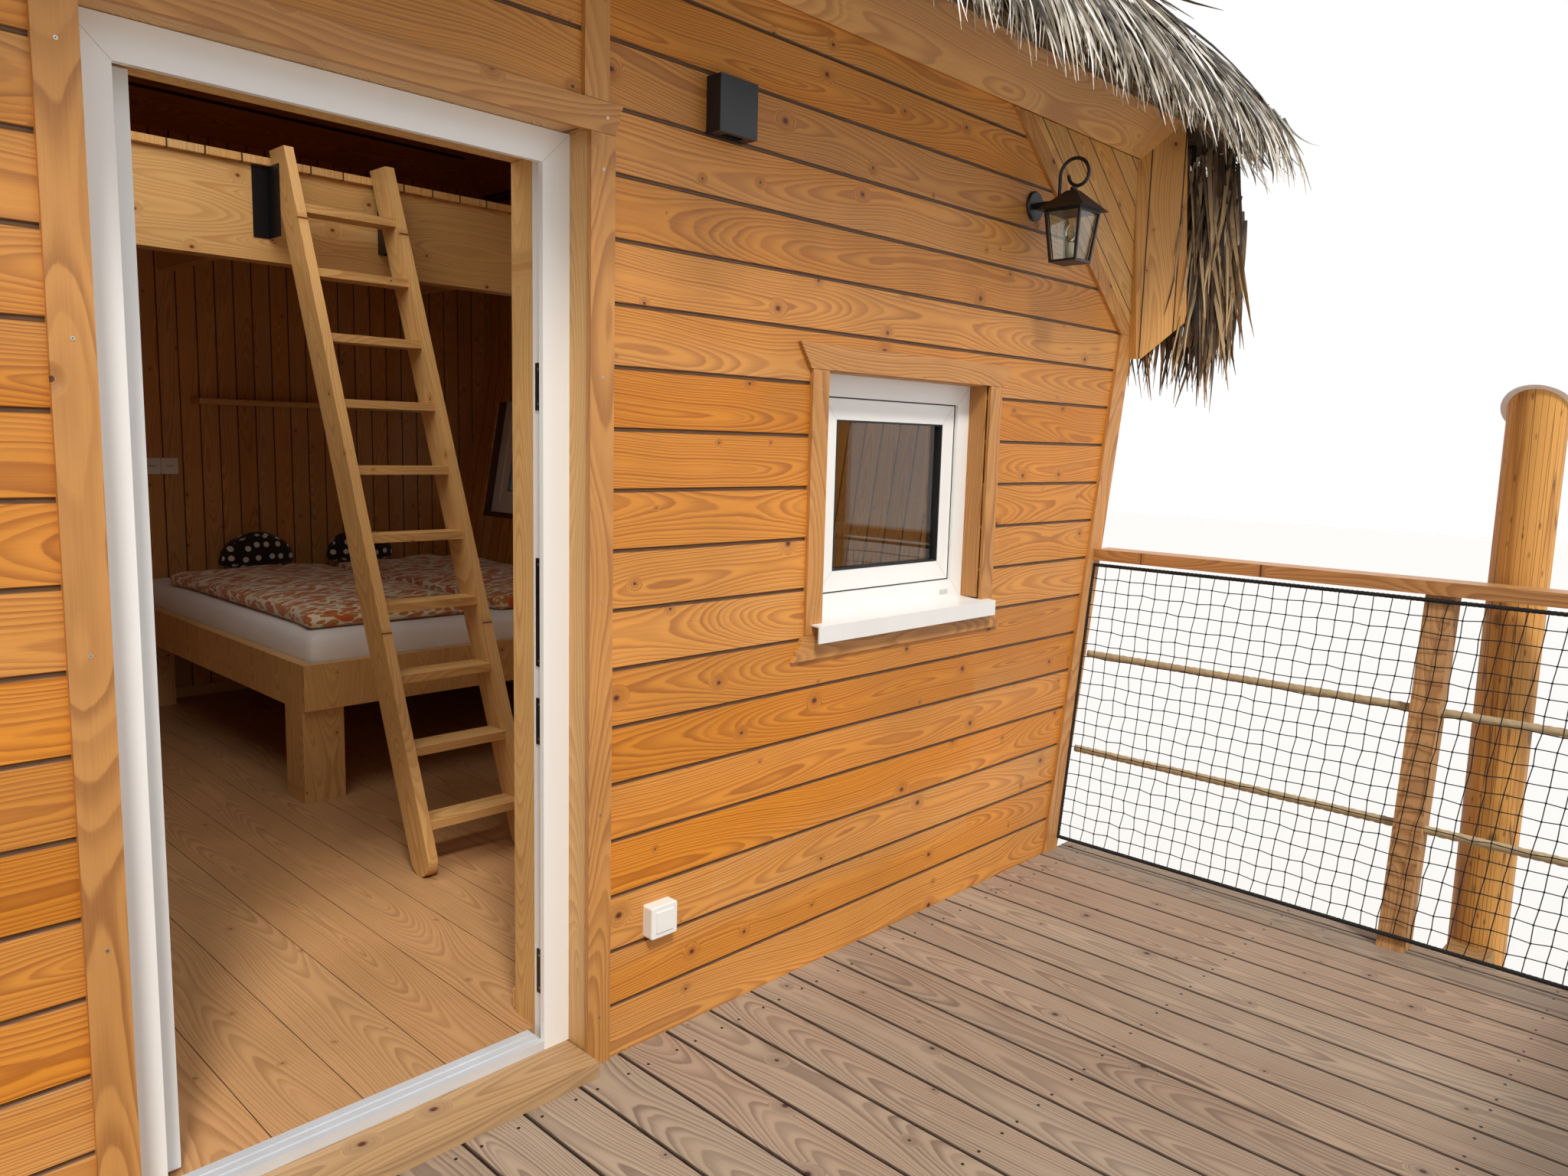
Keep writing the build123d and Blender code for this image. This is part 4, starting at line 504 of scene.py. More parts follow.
def woven(name, ground, motif, kind):
    """Woven cotton or plush with a generic print, on the piece's own UV map in metres."""
    made, tree, shader = start_material(name)
    sheet = add(tree, "ShaderNodeUVMap", uv_map="cloth")
    colour = srgb(ground)
    if kind == "leaves":
        # Small sprigs in two sizes, 90 and 50 mm apart, each size at its own turn
        for size, shade in ((11.0, motif), (19.0, "#b9803e")):
            bent = add(tree, "ShaderNodeTexNoise", {"Vector": sheet, "Scale": 7.0, "Detail": 1.0}).outputs[1]
            moved = add(tree, "ShaderNodeMix", {0: 0.08, 4: sheet, 5: bent}, data_type="VECTOR").outputs[1]
            long_cells = add(tree, "ShaderNodeMapping",
                             {0: moved, "Rotation": (0, 0, size), "Scale": (size, size * 2.3, 1)})
            scatter = add(tree, "ShaderNodeTexVoronoi", {"Vector": long_cells, "Scale": 1.0},
                          voronoi_dimensions="2D")
            spot = add(tree, "ShaderNodeMapRange",
                       {0: scatter.outputs["Distance"], 1: 0.30, 2: 0.36, 3: 1.0, 4: 0.0})
            colour = add(tree, "ShaderNodeMix", {0: spot, 6: colour, 7: srgb(shade)},
                         data_type="RGBA").outputs[2]
    elif kind == "dots":
        # Round spots about 60 mm apart
        cells = add(tree, "ShaderNodeVectorMath", {0: sheet, 1: (17, 17, 0)}, operation="MULTIPLY")
        scatter = add(tree, "ShaderNodeTexVoronoi", {"Vector": cells, "Scale": 1.0, "Randomness": 0.45},
                      voronoi_dimensions="2D")
        spot = add(tree, "ShaderNodeMapRange",
                   {0: scatter.outputs["Distance"], 1: 0.22, 2: 0.26, 3: 1.0, 4: 0.0})
        colour = add(tree, "ShaderNodeMix", {0: spot, 6: colour, 7: srgb(motif)},
                     data_type="RGBA").outputs[2]
    # Threads drawn 4 mm apart, ten times as coarse as real ones, so that they show
    warp = add(tree, "ShaderNodeTexWave", {"Vector": sheet, "Scale": 80.0}, bands_direction="X").outputs[1]
    weft = add(tree, "ShaderNodeTexWave", {"Vector": sheet, "Scale": 80.0}, bands_direction="Y").outputs[1]
    threads = add(tree, "ShaderNodeMath", {0: warp, 1: weft}, operation="MULTIPLY")
    creases = add(tree, "ShaderNodeTexNoise", {"Vector": sheet, "Scale": 9.0, "Detail": 4.0})
    height = add(tree, "ShaderNodeMath", {0: creases, 1: 14.0, 2: threads}, operation="MULTIPLY_ADD")
    bump = add(tree, "ShaderNodeBump", {"Strength": 0.6, "Distance": 0.0006, "Height": height})
    # Plain cloth: darker in the hollows of its creases and lighter on their crests, painted shade and light
    if kind == "plain":
        shade = add(tree, "ShaderNodeMapRange", {0: creases, 3: 0.93, 4: 1.05})
        colour = add(tree, "ShaderNodeHueSaturation", {"Value": shade, "Color": colour})
    feed(tree, shader, {"Base Color": colour, "Normal": bump, "Roughness": 0.88, "Sheen Weight": 0.25})
    return made


# Printed cotton, cotton ticking and knitted plush: matte, with the soft rim of loose fibre
duvet_cotton = woven("printed_duvet_cotton", "#e6d6b8", "#c4602a", "leaves")
ticking = woven("mattress_ticking", "#e9e6de", "#ffffff", "plain")
plush = woven("spotted_plush", "#241d1d", "#d9d2c4", "dots")
stalk_plush = woven("plain_plush", "#c9a67c", "#ffffff", "plain")


def peeled_log(name, light, dark):
    """Debarked log: long dry checks, knots and brown strips of bast, alike all round the trunk."""
    made, tree, shader = start_material(name)
    place = add(tree, "ShaderNodeTexCoord").outputs["Object"]
    long_way = add(tree, "ShaderNodeMapping", {0: place, "Scale": (26, 26, 1.6)})
    streak = add(tree, "ShaderNodeTexNoise", {"Vector": long_way, "Scale": 1.0, "Detail": 5.0})
    cells = add(tree, "ShaderNodeMapping", {0: place, "Scale": (9, 9, 4)})
    scatter = add(tree, "ShaderNodeTexVoronoi", {"Vector": cells, "Scale": 1.0})
    spot = add(tree, "ShaderNodeMapRange", {0: scatter.outputs["Distance"], 1: 0.10, 2: 0.17, 3: 1.0, 4: 0.0})
    check = add(tree, "ShaderNodeMapping", {0: place, "Scale": (60, 60, 0.9)})
    crack = add(tree, "ShaderNodeTexVoronoi", {"Vector": check, "Scale": 1.0}, feature="DISTANCE_TO_EDGE")
    split = add(tree, "ShaderNodeMapRange", {0: crack, 1: 0.0, 2: 0.035, 3: 1.0, 4: 0.0})
    dashes = add(tree, "ShaderNodeMapping", {0: place, "Scale": (55, 55, 17)})
    dash = add(tree, "ShaderNodeTexVoronoi", {"Vector": dashes, "Scale": 1.0})
    fleck = add(tree, "ShaderNodeMapRange", {0: dash.outputs["Distance"], 1: 0.10, 2: 0.26, 3: 1.0, 4: 0.0})
    rare = add(tree, "ShaderNodeMath", {0: dash.outputs["Color"], 1: 0.55}, operation="GREATER_THAN")
    fleck = add(tree, "ShaderNodeMath", {0: fleck, 1: rare}, operation="MULTIPLY")
    colour = add(tree, "ShaderNodeValToRGB", {0: streak}, stops=[(0.3, dark), (0.5, light), (0.75, light)])
    for mask, shade in ((spot, "#55361c"), (split, "#4a3018"), (fleck, "#6b3f18")):
        part = add(tree, "ShaderNodeMath", {0: mask, 1: 0.75}, operation="MULTIPLY")
        colour = add(tree, "ShaderNodeMix", {0: part, 6: colour, 7: srgb(shade)},
                     data_type="RGBA").outputs[2]
    height = add(tree, "ShaderNodeMath", {0: split, 1: -1.5, 2: streak}, operation="MULTIPLY_ADD")
    bump = add(tree, "ShaderNodeBump", {"Strength": 0.6, "Distance": 0.004, "Height": height})
    feed(tree, shader, {"Base Color": colour, "Normal": bump, "Roughness": 0.6})
    return made


# The tall logs beside the deck are oiled to a warm gold, those under it weather to grey-brown
log_oiled = peeled_log("oiled_peeled_log", "#d59a4c", "#a06428")
log_plain = peeled_log("weathered_peeled_log", "#a98c64", "#775c3c")

# Oak laminate: printed planks 193 mm wide that run into the room, satin, with hairline joints
laminate = wood("oak_laminate", "#c6996a", "#8f6640", "#6f4826", depth, level, seam=(0.193, 0.05), tone=0.06,
                roughness=0.38, knots=0.004, ring=0.007, contrast=0.4, joint=0.0014)
# Larch step before the door: brushed pale by feet and rain
doorstep = wood("worn_larch_doorstep", "#c79d68", "#8a6238", larch[2], level, depth, tone=0.1, weather=0.2,
                contrast=0.5)
# Matt anodised aluminium: pale and even, hardly a mirror
anodised = plain("anodised_aluminium", "#d9dde1", 0.45, metallic=0.35, spread=0.03)

# Carried-over nodes: shape from the frame, finish from here
finishes = {
    larch_x: ["front_wall_left", "front_wall_right", "front_wall_middle", "front_wall_over_door",
              "front_wall_over_window", "front_wall_under_window", "back_wall"],
    doorstep: ["door_sill"],
    larch_y: ["left_wall", "right_wall"],
    larch_door: ["door_trims"],
    larch_window: ["window_trims"],
    larch_corner: ["corner_boards"],
    spruce_eave: ["front_eave_boards"],
    spruce_eave_side: ["side_eave_boards"],
    spruce_gable: ["gable_panels"],
    spruce_hip: ["hip_panels"],
    spruce_skirt: ["eave_skirts"],
    spruce_roof: ["roof_slopes"],
    spruce_roof_side: ["roof_hips"],
    joinery: ["loft_beams", "ladder_treads", "wall_shelf"],
    joinery_up: ["door_lining", "bed_frame"],
    ladder_wood: ["ladder_stringers"],
    sawn: ["joists"],
    sawn_deep: ["bearers"],
    post_wood: ["railing_posts"],
    rail_wood: ["top_rails"],
    log_plain: ["support_logs"],
    log_oiled: ["deck_logs"],
    thatch_bed: ["thatch_slopes", "thatch_hips", "hanging_thatch", "ridge_cap"],
    white_plastic: ["door_frame", "door_leaf", "door_hinges", "window_frames", "window_sashes"],
    black_steel: ["ladder_brackets", "wall_lamp", "lantern"],
    anodised: ["door_threshold"],
    mill_aluminium: ["door_handle"],
    sill_metal: ["window_sills", "log_caps"],
    switch_plastic: ["light_switch"],
    glass: ["window_glass", "lantern_glass"],
    laminate: ["cabin_floor"],
}
for finish, names in finishes.items():
    for name in names:
        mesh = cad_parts[name].data
        if mesh.materials:
            for index in range(len(mesh.materials)):
                mesh.materials[index] = finish
        else:
            mesh.materials.append(finish)


# Meshes and node trees

def show(name, mesh, finish=None, body="cabin"):
    """A piece at the origin with its mesh, riding on a body."""
    piece = bpy.data.objects.new(name, mesh)
    bpy.context.scene.collection.objects.link(piece)
    if finish:
        mesh.materials.clear()
        mesh.materials.append(finish)
    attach(piece, body)
    return piece


def finished(work, name, smooth=False):
    """Turns a bmesh into a mesh."""
    mesh = bpy.data.meshes.new(name)
    work.to_mesh(mesh)
    work.free()
    if smooth:
        for polygon in mesh.polygons:
            polygon.use_smooth = True
    return mesh


def start_tree(name, inputs):
    """A geometry tree with named inputs; returns it and the outputs of its input node."""
    tree = bpy.data.node_groups.new(name, "GeometryNodeTree")
    tree.interface.new_socket("Carrier", in_out="INPUT", socket_type="NodeSocketGeometry")
    for label, kind in inputs:
        tree.interface.new_socket(label, in_out="INPUT", socket_type="NodeSocket" + kind)
    tree.interface.new_socket("Result", in_out="OUTPUT", socket_type="NodeSocketGeometry")
    return tree, add(tree, "NodeGroupInput").outputs


def end_tree(tree, shape, finish):
    """Sets the material and hands the shape on."""
    painted = add(tree, "GeometryNodeSetMaterial", {"Geometry": shape, "Material": finish})
    add(tree, "NodeGroupOutput", {0: painted})
    return tree


def grow(name, tree, values, carrier=None, place=None, bevel=0.0):
    """Runs a tree on a carrier and returns its result as a plain mesh."""
    host = bpy.data.objects.new(name, carrier or bpy.data.meshes.new(name))
    bpy.context.scene.collection.objects.link(host)
    modifier = host.modifiers.new("grow", "NODES")
    modifier.node_group = tree
    for item in tree.interface.items_tree:
        if item.item_type == "SOCKET" and item.in_out == "INPUT" and item.name in values:
            modifier[item.identifier] = values[item.name]
    if bevel:
        ease = host.modifiers.new("ease", "BEVEL")
        ease.width = bevel
        ease.segments = 1
        ease.limit_method = "ANGLE"
    bpy.context.view_layer.update()
    mesh = bpy.data.meshes.new_from_object(host.evaluated_get(bpy.context.evaluated_depsgraph_get()))
    bpy.data.objects.remove(host)
    if place:
        mesh.transform(place)
    mesh.name = name
    return mesh


def placed(origin, along, across):
    """Matrix of a local frame: X along, Y across and Z out of the surface."""
    along, across = Vector(along).normalized(), Vector(across).normalized()
    axes = Matrix((along, across, along.cross(across))).transposed().to_4x4()
    return Matrix.Translation(origin) @ axes


def up_the_wall(direction):
    """The way up a leaning side wall and the way out of it."""
    return (Vector((direction * sin(wall_lean), 0, cos(wall_lean))),
            Vector((direction * cos(wall_lean), 0, -sin(wall_lean))))


def trim(mesh, planes):
    """Cuts away what lies beyond each (point, outward normal) plane and closes the cut."""
    work = bmesh.new()
    work.from_mesh(mesh)
    for point, normal in planes:
        everything = work.verts[:] + work.edges[:] + work.faces[:]
        cut = bmesh.ops.bisect_plane(work, geom=everything, dist=1e-6, plane_co=point, plane_no=normal,
                                     clear_outer=True)["geom_cut"]
        edges = [part for part in cut if isinstance(part, bmesh.types.BMEdge) and part.is_boundary]
        bmesh.ops.holes_fill(work, edges=edges, sides=0)
    work.to_mesh(mesh)
    work.free()


def carve(mesh, holes):
    """Parts boards beside, under and over (low X, high X, low Y, high Y) openings of their local frame."""
    for low_x, high_x, low_y, high_y in holes:
        between = [((low_x, 0, 0), (-1, 0, 0)), ((high_x, 0, 0), (1, 0, 0))]
        whole = bmesh.new()
        for planes in ([((low_x, 0, 0), (1, 0, 0))], [((high_x, 0, 0), (-1, 0, 0))],
                       between + [((0, low_y, 0), (0, 1, 0))], between + [((0, high_y, 0), (0, -1, 0))]):
            part = mesh.copy()
            trim(part, planes)
            whole.from_mesh(part)
            bpy.data.meshes.remove(part)
        bmesh.ops.recalc_face_normals(whole, faces=whole.faces[:])
        whole.to_mesh(mesh)
        whole.free()


def board_tree():
    """Boards side by side, each from its own low end to its own high end, with a tone of its own."""
    tree, given = start_tree("boards", [
        ("First", "Int"), ("Count", "Int"), ("Pitch", "Float"), ("Width", "Float"), ("Thickness", "Float"),
        ("Low end", "Float"), ("High end", "Float"), ("Low lean", "Float"), ("High lean", "Float"),
        ("Seed", "Int"), ("Finish", "Material")])
    index = add(tree, "GeometryNodeInputIndex")
    number = add(tree, "ShaderNodeMath", {0: index, 1: given["First"]}, operation="ADD")
    rise = add(tree, "ShaderNodeMath", {0: number, 1: given["Pitch"]}, operation="MULTIPLY")
    low = add(tree, "ShaderNodeMath", {0: rise, 1: given["Low lean"], 2: given["Low end"]},
              operation="MULTIPLY_ADD")
    high = add(tree, "ShaderNodeMath", {0: rise, 1: given["High lean"], 2: given["High end"]},
               operation="MULTIPLY_ADD")
    length = add(tree, "ShaderNodeMath", {0: high, 1: low}, operation="SUBTRACT")
    spot = add(tree, "ShaderNodeCombineXYZ", {0: low, 1: rise})
    line = add(tree, "GeometryNodeMeshLine", {"Count": given["Count"]}, mode="OFFSET")
    rows = add(tree, "GeometryNodeSetPosition", {"Geometry": line, "Position": spot})
    size = add(tree, "ShaderNodeCombineXYZ", {0: 1.0, 1: given["Width"], 2: given["Thickness"]})
    board = add(tree, "GeometryNodeMeshCube", {"Size": size})
    half = add(tree, "ShaderNodeMath", {0: given["Width"], 1: 0.5}, operation="MULTIPLY")
    corner = add(tree, "ShaderNodeCombineXYZ", {0: 0.5, 1: half})
    inside = add(tree, "ShaderNodeSeparateXYZ", {0: add(tree, "GeometryNodeInputPosition")})
    board = add(tree, "GeometryNodeStoreNamedAttribute",
                {"Geometry": board, "Name": "beside", "Value": inside.outputs[1]},
                data_type="FLOAT", domain="POINT")
    board = add(tree, "GeometryNodeStoreNamedAttribute", {"Geometry": board, "Name": "half", "Value": half},
                data_type="FLOAT", domain="POINT")
    board = add(tree, "GeometryNodeTransform", {"Geometry": board, "Translation": corner})
    stretch = add(tree, "ShaderNodeCombineXYZ", {0: length, 1: 1.0, 2: 1.0})
    laid = add(tree, "GeometryNodeInstanceOnPoints", {"Points": rows, "Instance": board, "Scale": stretch})
    tone = add(tree, "FunctionNodeRandomValue", {7: number, 8: given["Seed"]}, data_type="FLOAT").outputs[1]
    marked = add(tree, "GeometryNodeStoreNamedAttribute",
                 {"Geometry": laid, "Name": "tone", "Value": tone},
                 data_type="FLOAT", domain="INSTANCE")
    real = add(tree, "GeometryNodeRealizeInstances", {0: marked})
    return end_tree(tree, real, given["Finish"])


boards = board_tree()


def lay_boards(name, finish, slot, place, first, count, pitch, thickness, ends, leans=(0.0, 0.0),
               gap=0.0045, seed=1, bevel=0.0035, holes=(), planes=()):
    """A field of boards: laid in its own frame, carved for openings, put in place and trimmed."""
    mesh = grow(name, boards, {
        "First": first, "Count": count, "Pitch": pitch, "Width": pitch - gap, "Thickness": thickness,
        "Low end": ends[0], "High end": ends[1], "Low lean": leans[0], "High lean": leans[1],
        "Seed": seed, "Finish": finish}, bevel=bevel)
    if holes:
        carve(mesh, holes)
    mesh.transform(place)
    if planes:
        trim(mesh, planes)
    return show(name, mesh)


# Cladding: boards 138 mm apart, 4 mm proud of the wall so that the grooves show
lean = tan(wall_lean)
board_face = 0.004
board_depth = 0.012
first_drop = 0.008           # the lowest board starts below the deck's face
end_gap = 0.006              # kept free at each end, under the corner boards
row_low = deck_z - first_drop
half_low = base_half_width - first_drop * lean - end_gap
knee_half = base_half_width + knee_rise * lean - end_gap
rows_below_knee, rows_above_knee, side_rows = 14, 5, 15
eave_tuck = 0.012
under_eave = [((0, 0, eave_low_z + eave_tuck), (0, 0, 1))]
for side, face_y, along, openings in (
    ("front", wall_y, (1, 0, 0), [
        (*doorway_x, deck_z - 1 - row_low, doorway_top - row_low),
        (*window_x, window_z[0] - row_low, window_z[1] - row_low)]),
    ("back", back_y, (-1, 0, 0), []),
):
    out = -1 if side == "front" else 1
    place = placed((0, face_y + out * (board_face - board_depth / 2), row_low), along, (0, 0, 1))
    lay_boards(f"{side}_cladding", larch_x, "larch_cladding", place, 0, rows_below_knee, board_pitch,
               board_depth, (-half_low, half_low), (-lean, lean), holes=openings, seed=3)
    lay_boards(f"{side}_cladding_top", larch_x, "larch_cladding", place, rows_below_knee, rows_above_knee,
               board_pitch, board_depth, (-knee_half, knee_half), holes=openings, seed=3, planes=under_eave)

window_low = (window_z[0] - row_low) / cos(wall_lean)
side_gap = 0.001
for side, direction in (("right", 1), ("left", -1)):
    upslope, outward = up_the_wall(direction)
    foot = Vector((direction * (base_half_width - first_drop * lean), 0, row_low))
    place = placed(foot + outward * (board_face - board_depth / 2), upslope.cross(outward), upslope)
    ends = sorted((direction * (wall_y + side_gap), direction * (back_y - side_gap)))
    middle = direction * side_window_y
    hole = (middle - window_width / 2, middle + window_width / 2, window_low, window_low + window_height)
    lay_boards(f"{side}_cladding", larch_y, "larch_cladding", place, 0, side_rows, board_pitch, board_depth,
               ends, holes=[hole], seed=5 + direction)

# Lining: narrow upright boards on the room side of each wall
lining_depth = 0.010
lining_joint = {"gap": 0.0015, "bevel": 0.002}
lining_foot = 0.002          # clear of the floor
lining_height, top_height = 2.88, 0.95
lining_count = 52
corner_reach = 0.03          # how far the front and back lining runs into the side walls
floor_rise = 0.063           # the floor's face above the deck's
roof_in_x = base_half_width + knee_rise * lean - wall_thickness / cos(wall_lean)
inner_base = base_half_width - wall_thickness / cos(wall_lean)
side_planes = [
    ((direction * (inner_base + corner_reach), 0, deck_z), (direction * cos(wall_lean), 0, -sin(wall_lean)))
    for direction in (1, -1)
] + [((direction * (roof_in_x + corner_reach), 0, 0), (direction, 0, 0)) for direction in (1, -1)]
for side, face_y, into, holes in (
    ("front", room_front_y, 1, [(0.0, doorway_top - floor_z, *doorway_x),
                                (window_z[0] - floor_z, window_z[1] - floor_z, *window_x)]),
    ("back", room_back_y, -1, []),
):
    place = placed((0, face_y + into * lining_depth / 2, floor_z), (0, 0, 1), (into, 0, 0))
    lay_boards(f"{side}_lining", lining_wood, "spruce_joinery", place, -lining_count // 2, lining_count,
               lining_pitch, lining_depth, (lining_foot, lining_height), seed=11, holes=holes,
               planes=side_planes, **lining_joint)
for side, direction in (("right", 1), ("left", -1)):
    upslope, outward = up_the_wall(direction)
    inward = -outward
    foot = Vector((direction * (inner_base + floor_rise * lean), 0, floor_z))
    place = placed(foot + inward * lining_depth / 2, upslope, inward.cross(upslope))
    middle = direction * side_window_y
    sill = (window_z[0] - floor_z) / cos(wall_lean)
    hole = (sill, sill + window_height, middle - window_width / 2, middle + window_width / 2)
    first = int((room_front_y if direction > 0 else -room_back_y) / lining_pitch)
    count = int((room_back_y - room_front_y) / lining_pitch)
    knee_length = (knee_rise - floor_rise) / cos(wall_lean)
    lay_boards(f"{side}_lining", lining_wood_side, "spruce_joinery", place, first, count, lining_pitch,
               lining_depth, (lining_foot, knee_length), seed=13, holes=[hole], **lining_joint)
    upright = placed((direction * (roof_in_x - lining_depth / 2), 0, deck_z + knee_rise), (0, 0, 1),
                     (0, direction, 0))
    lay_boards(f"{side}_lining_top", lining_wood_side, "spruce_joinery", upright, first, count, lining_pitch,
               lining_depth, (0.0, top_height), seed=14, **lining_joint)

# Deck boards across the house's width, each 145 mm with 5 mm gaps, cut flush at the sides
deck_gap = 0.005
deck_start = 0.081           # one board's edge, as seen at the doorstep
deck_first, deck_count = -16, 33
deck_place = placed((deck_start + deck_gap / 2, 0, (deck_low[2] + deck_high[2]) / 2), (0, 1, 0), (-1, 0, 0))
deck_boards = lay_boards(
    "deck_boards", deck_wood, "deck_boards", deck_place, deck_first, deck_count, deck_pitch,
    deck_high[2] - deck_low[2], (deck_low[1], deck_high[1]), gap=deck_gap, bevel=0.003, seed=21,
    planes=[((deck_low[0], 0, 0), (-1, 0, 0)), ((deck_high[0], 0, 0), (1, 0, 0))])
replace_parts(deck_boards, "deck")

loft_low, loft_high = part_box("loft_floor")
loft_place = placed((loft_high[0], 0, (loft_low[2] + loft_high[2]) / 2), (0, 1, 0), (-1, 0, 0))
loft_count = 40
loft_boards = lay_boards(
    "loft_boards", joinery_deep, "spruce_joinery", loft_place, 0, loft_count,
    (loft_high[0] - loft_low[0]) / loft_count, loft_high[2] - loft_low[2], (loft_low[1], loft_high[1]),
    gap=0.001, bevel=0.0015, seed=23)
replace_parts(loft_boards, "loft_floor")


# Thatch

def leaf_tree():
    """Folded leaves scattered on a carrier, running down its slope, lifted, spread and bent."""
    tree, given = start_tree("palm_leaves", [
        ("Density", "Float"), ("Length", "Float"), ("Width", "Float"), ("Across", "Int"), ("Lift", "Float"),
        ("Spread", "Float"), ("Bend", "Float"), ("Variation", "Float"), ("Seed", "Int"),
        ("Finish", "Material")])
    spots = add(tree, "GeometryNodeDistributePointsOnFaces",
                {"Mesh": given["Carrier"], "Density": given["Density"], "Seed": given["Seed"]})
    normal = spots.outputs["Normal"]
    across = add(tree, "ShaderNodeVectorMath", {0: (0, 0, -1), 1: normal}, operation="PROJECT")
    down = add(tree, "ShaderNodeVectorMath", {0: (0, 0, -1), 1: across}, operation="SUBTRACT")
    facing = add(tree, "FunctionNodeAxesToRotation", {0: down, 1: normal},
                 primary_axis="X", secondary_axis="Z")
    lift = add(tree, "ShaderNodeMath", {0: given["Lift"], 1: -1.0}, operation="MULTIPLY")
    flat = add(tree, "ShaderNodeMath", {0: given["Lift"], 1: -0.1}, operation="MULTIPLY")
    back = add(tree, "ShaderNodeMath", {0: given["Spread"], 1: -1.0}, operation="MULTIPLY")
    least = add(tree, "ShaderNodeCombineXYZ", {0: -0.7, 1: lift, 2: back})
    most = add(tree, "ShaderNodeCombineXYZ", {0: 0.7, 1: flat, 2: given["Spread"]})
    jitter = add(tree, "FunctionNodeRandomValue", {0: least, 1: most, 8: given["Seed"]},
                 data_type="FLOAT_VECTOR")
    jitter = add(tree, "FunctionNodeEulerToRotation", {0: jitter})
    turn = add(tree, "FunctionNodeRotateRotation", {0: facing, 1: jitter}, rotation_space="LOCAL")

    blade = add(tree, "GeometryNodeMeshGrid",
                {"Size X": 1.0, "Size Y": 1.0, "Vertices X": 6, "Vertices Y": given["Across"]})
    point = add(tree, "ShaderNodeSeparateXYZ", {0: add(tree, "GeometryNodeInputPosition")})
    reach = add(tree, "ShaderNodeMath", {0: point.outputs[0], 1: 0.5}, operation="ADD")
    taper = add(tree, "ShaderNodeMath", {0: reach, 1: 2.6}, operation="POWER")
    taper = add(tree, "ShaderNodeMath", {0: taper, 1: -0.9, 2: 1.0}, operation="MULTIPLY_ADD")
    taper = add(tree, "ShaderNodeMath", {0: taper, 1: given["Width"]}, operation="MULTIPLY")
    wide = add(tree, "ShaderNodeMath", {0: point.outputs[1], 1: taper}, operation="MULTIPLY")
    fold = add(tree, "ShaderNodeMath", {0: wide}, operation="ABSOLUTE")
    fold = add(tree, "ShaderNodeMath", {0: fold, 1: -0.7}, operation="MULTIPLY")
    along = add(tree, "ShaderNodeMath", {0: reach, 1: given["Length"]}, operation="MULTIPLY")
    curl = add(tree, "ShaderNodeMath", {0: reach, 1: 2.0}, operation="POWER")
    curl = add(tree, "ShaderNodeMath", {0: curl, 1: given["Bend"]}, operation="MULTIPLY")
    height = add(tree, "ShaderNodeMath", {0: fold, 1: curl}, operation="SUBTRACT")
    shape = add(tree, "ShaderNodeCombineXYZ", {0: along, 1: wide, 2: height})
    blade = add(tree, "GeometryNodeStoreNamedAttribute",
                {"Geometry": blade, "Name": "reach", "Value": reach},
                data_type="FLOAT", domain="POINT")
    blade = add(tree, "GeometryNodeSetPosition", {"Geometry": blade, "Position": shape})

    short = add(tree, "ShaderNodeMath", {0: 1.0, 1: given["Variation"]}, operation="SUBTRACT")
    long = add(tree, "ShaderNodeMath", {0: 1.0, 1: given["Variation"]}, operation="ADD")
    stretch = add(tree, "FunctionNodeRandomValue", {2: short, 3: long, 8: 5}, data_type="FLOAT").outputs[1]
    stretch = add(tree, "ShaderNodeCombineXYZ", {0: stretch, 1: 1.0, 2: 1.0})
    grown = add(tree, "GeometryNodeInstanceOnPoints",
                {"Points": spots, "Instance": blade, "Rotation": turn, "Scale": stretch})
    tone = add(tree, "FunctionNodeRandomValue", {8: 9}, data_type="FLOAT").outputs[1]
    grown = add(tree, "GeometryNodeStoreNamedAttribute", {"Geometry": grown, "Name": "tone", "Value": tone},
                data_type="FLOAT", domain="INSTANCE")
    real = add(tree, "GeometryNodeRealizeInstances", {0: grown})
    return end_tree(tree, real, given["Finish"])


leaves = leaf_tree()

# Section of the roof's upper face, out from the eave's line and up from its level: straight from the
# crest to the shoulder, then an arc that drops to the rim
shoulder_in = 0.19
shoulder = Vector((-shoulder_in, roof_top + shoulder_in * tan(roof_slope)))
rim = Vector((0.320, -0.060))
heading = Vector((slope_in, -slope_up))
inwards = Vector((-slope_up, -slope_in))
chord = rim - shoulder
radius = chord.length_squared / (2 * chord.dot(inwards))
centre = shoulder + inwards * radius
sweep = 2 * heading.angle(chord)
arc_steps = 8
arc = [centre - radius * (inwards * cos(sweep * k / arc_steps) - heading * sin(sweep * k / arc_steps))
       for k in range(arc_steps + 1)]
crest = Vector((-roof_half_depth, roof_top + roof_half_depth * tan(roof_slope)))


def slope_strip(name, section, sides, facing_up=True):
    """A carrier that follows a section round the front and back, or left and right, up to the hips."""
    work = bmesh.new()
    for side in sides:
        rows = []
        for out, rise in section:
            if side in ("front", "back"):
                reach = max(eave_x + out, 0.01)
                y = eave_y - out if side == "front" else 2 * middle_y - eave_y + out
                ends = [(-reach, y), (reach, y)]
            else:
                x = eave_x + out if side == "right" else -(eave_x + out)
                ends = [(x, eave_y - out), (x, 2 * middle_y - eave_y + out)]
            if side in ("back", "right"):
                ends.reverse()
            rows.append([work.verts.new((x, y, eave_z + rise)) for x, y in ends])
        for upper, lower in zip(rows, rows[1:]):
            corners = [upper[0], lower[0], lower[1], upper[1]]
            work.faces.new(corners if facing_up else corners[::-1])
    return finished(work, name)


tip_limit = cad_box[1][0] + 0.13      # leaves that reach further out curl in
curl_share = 0.6


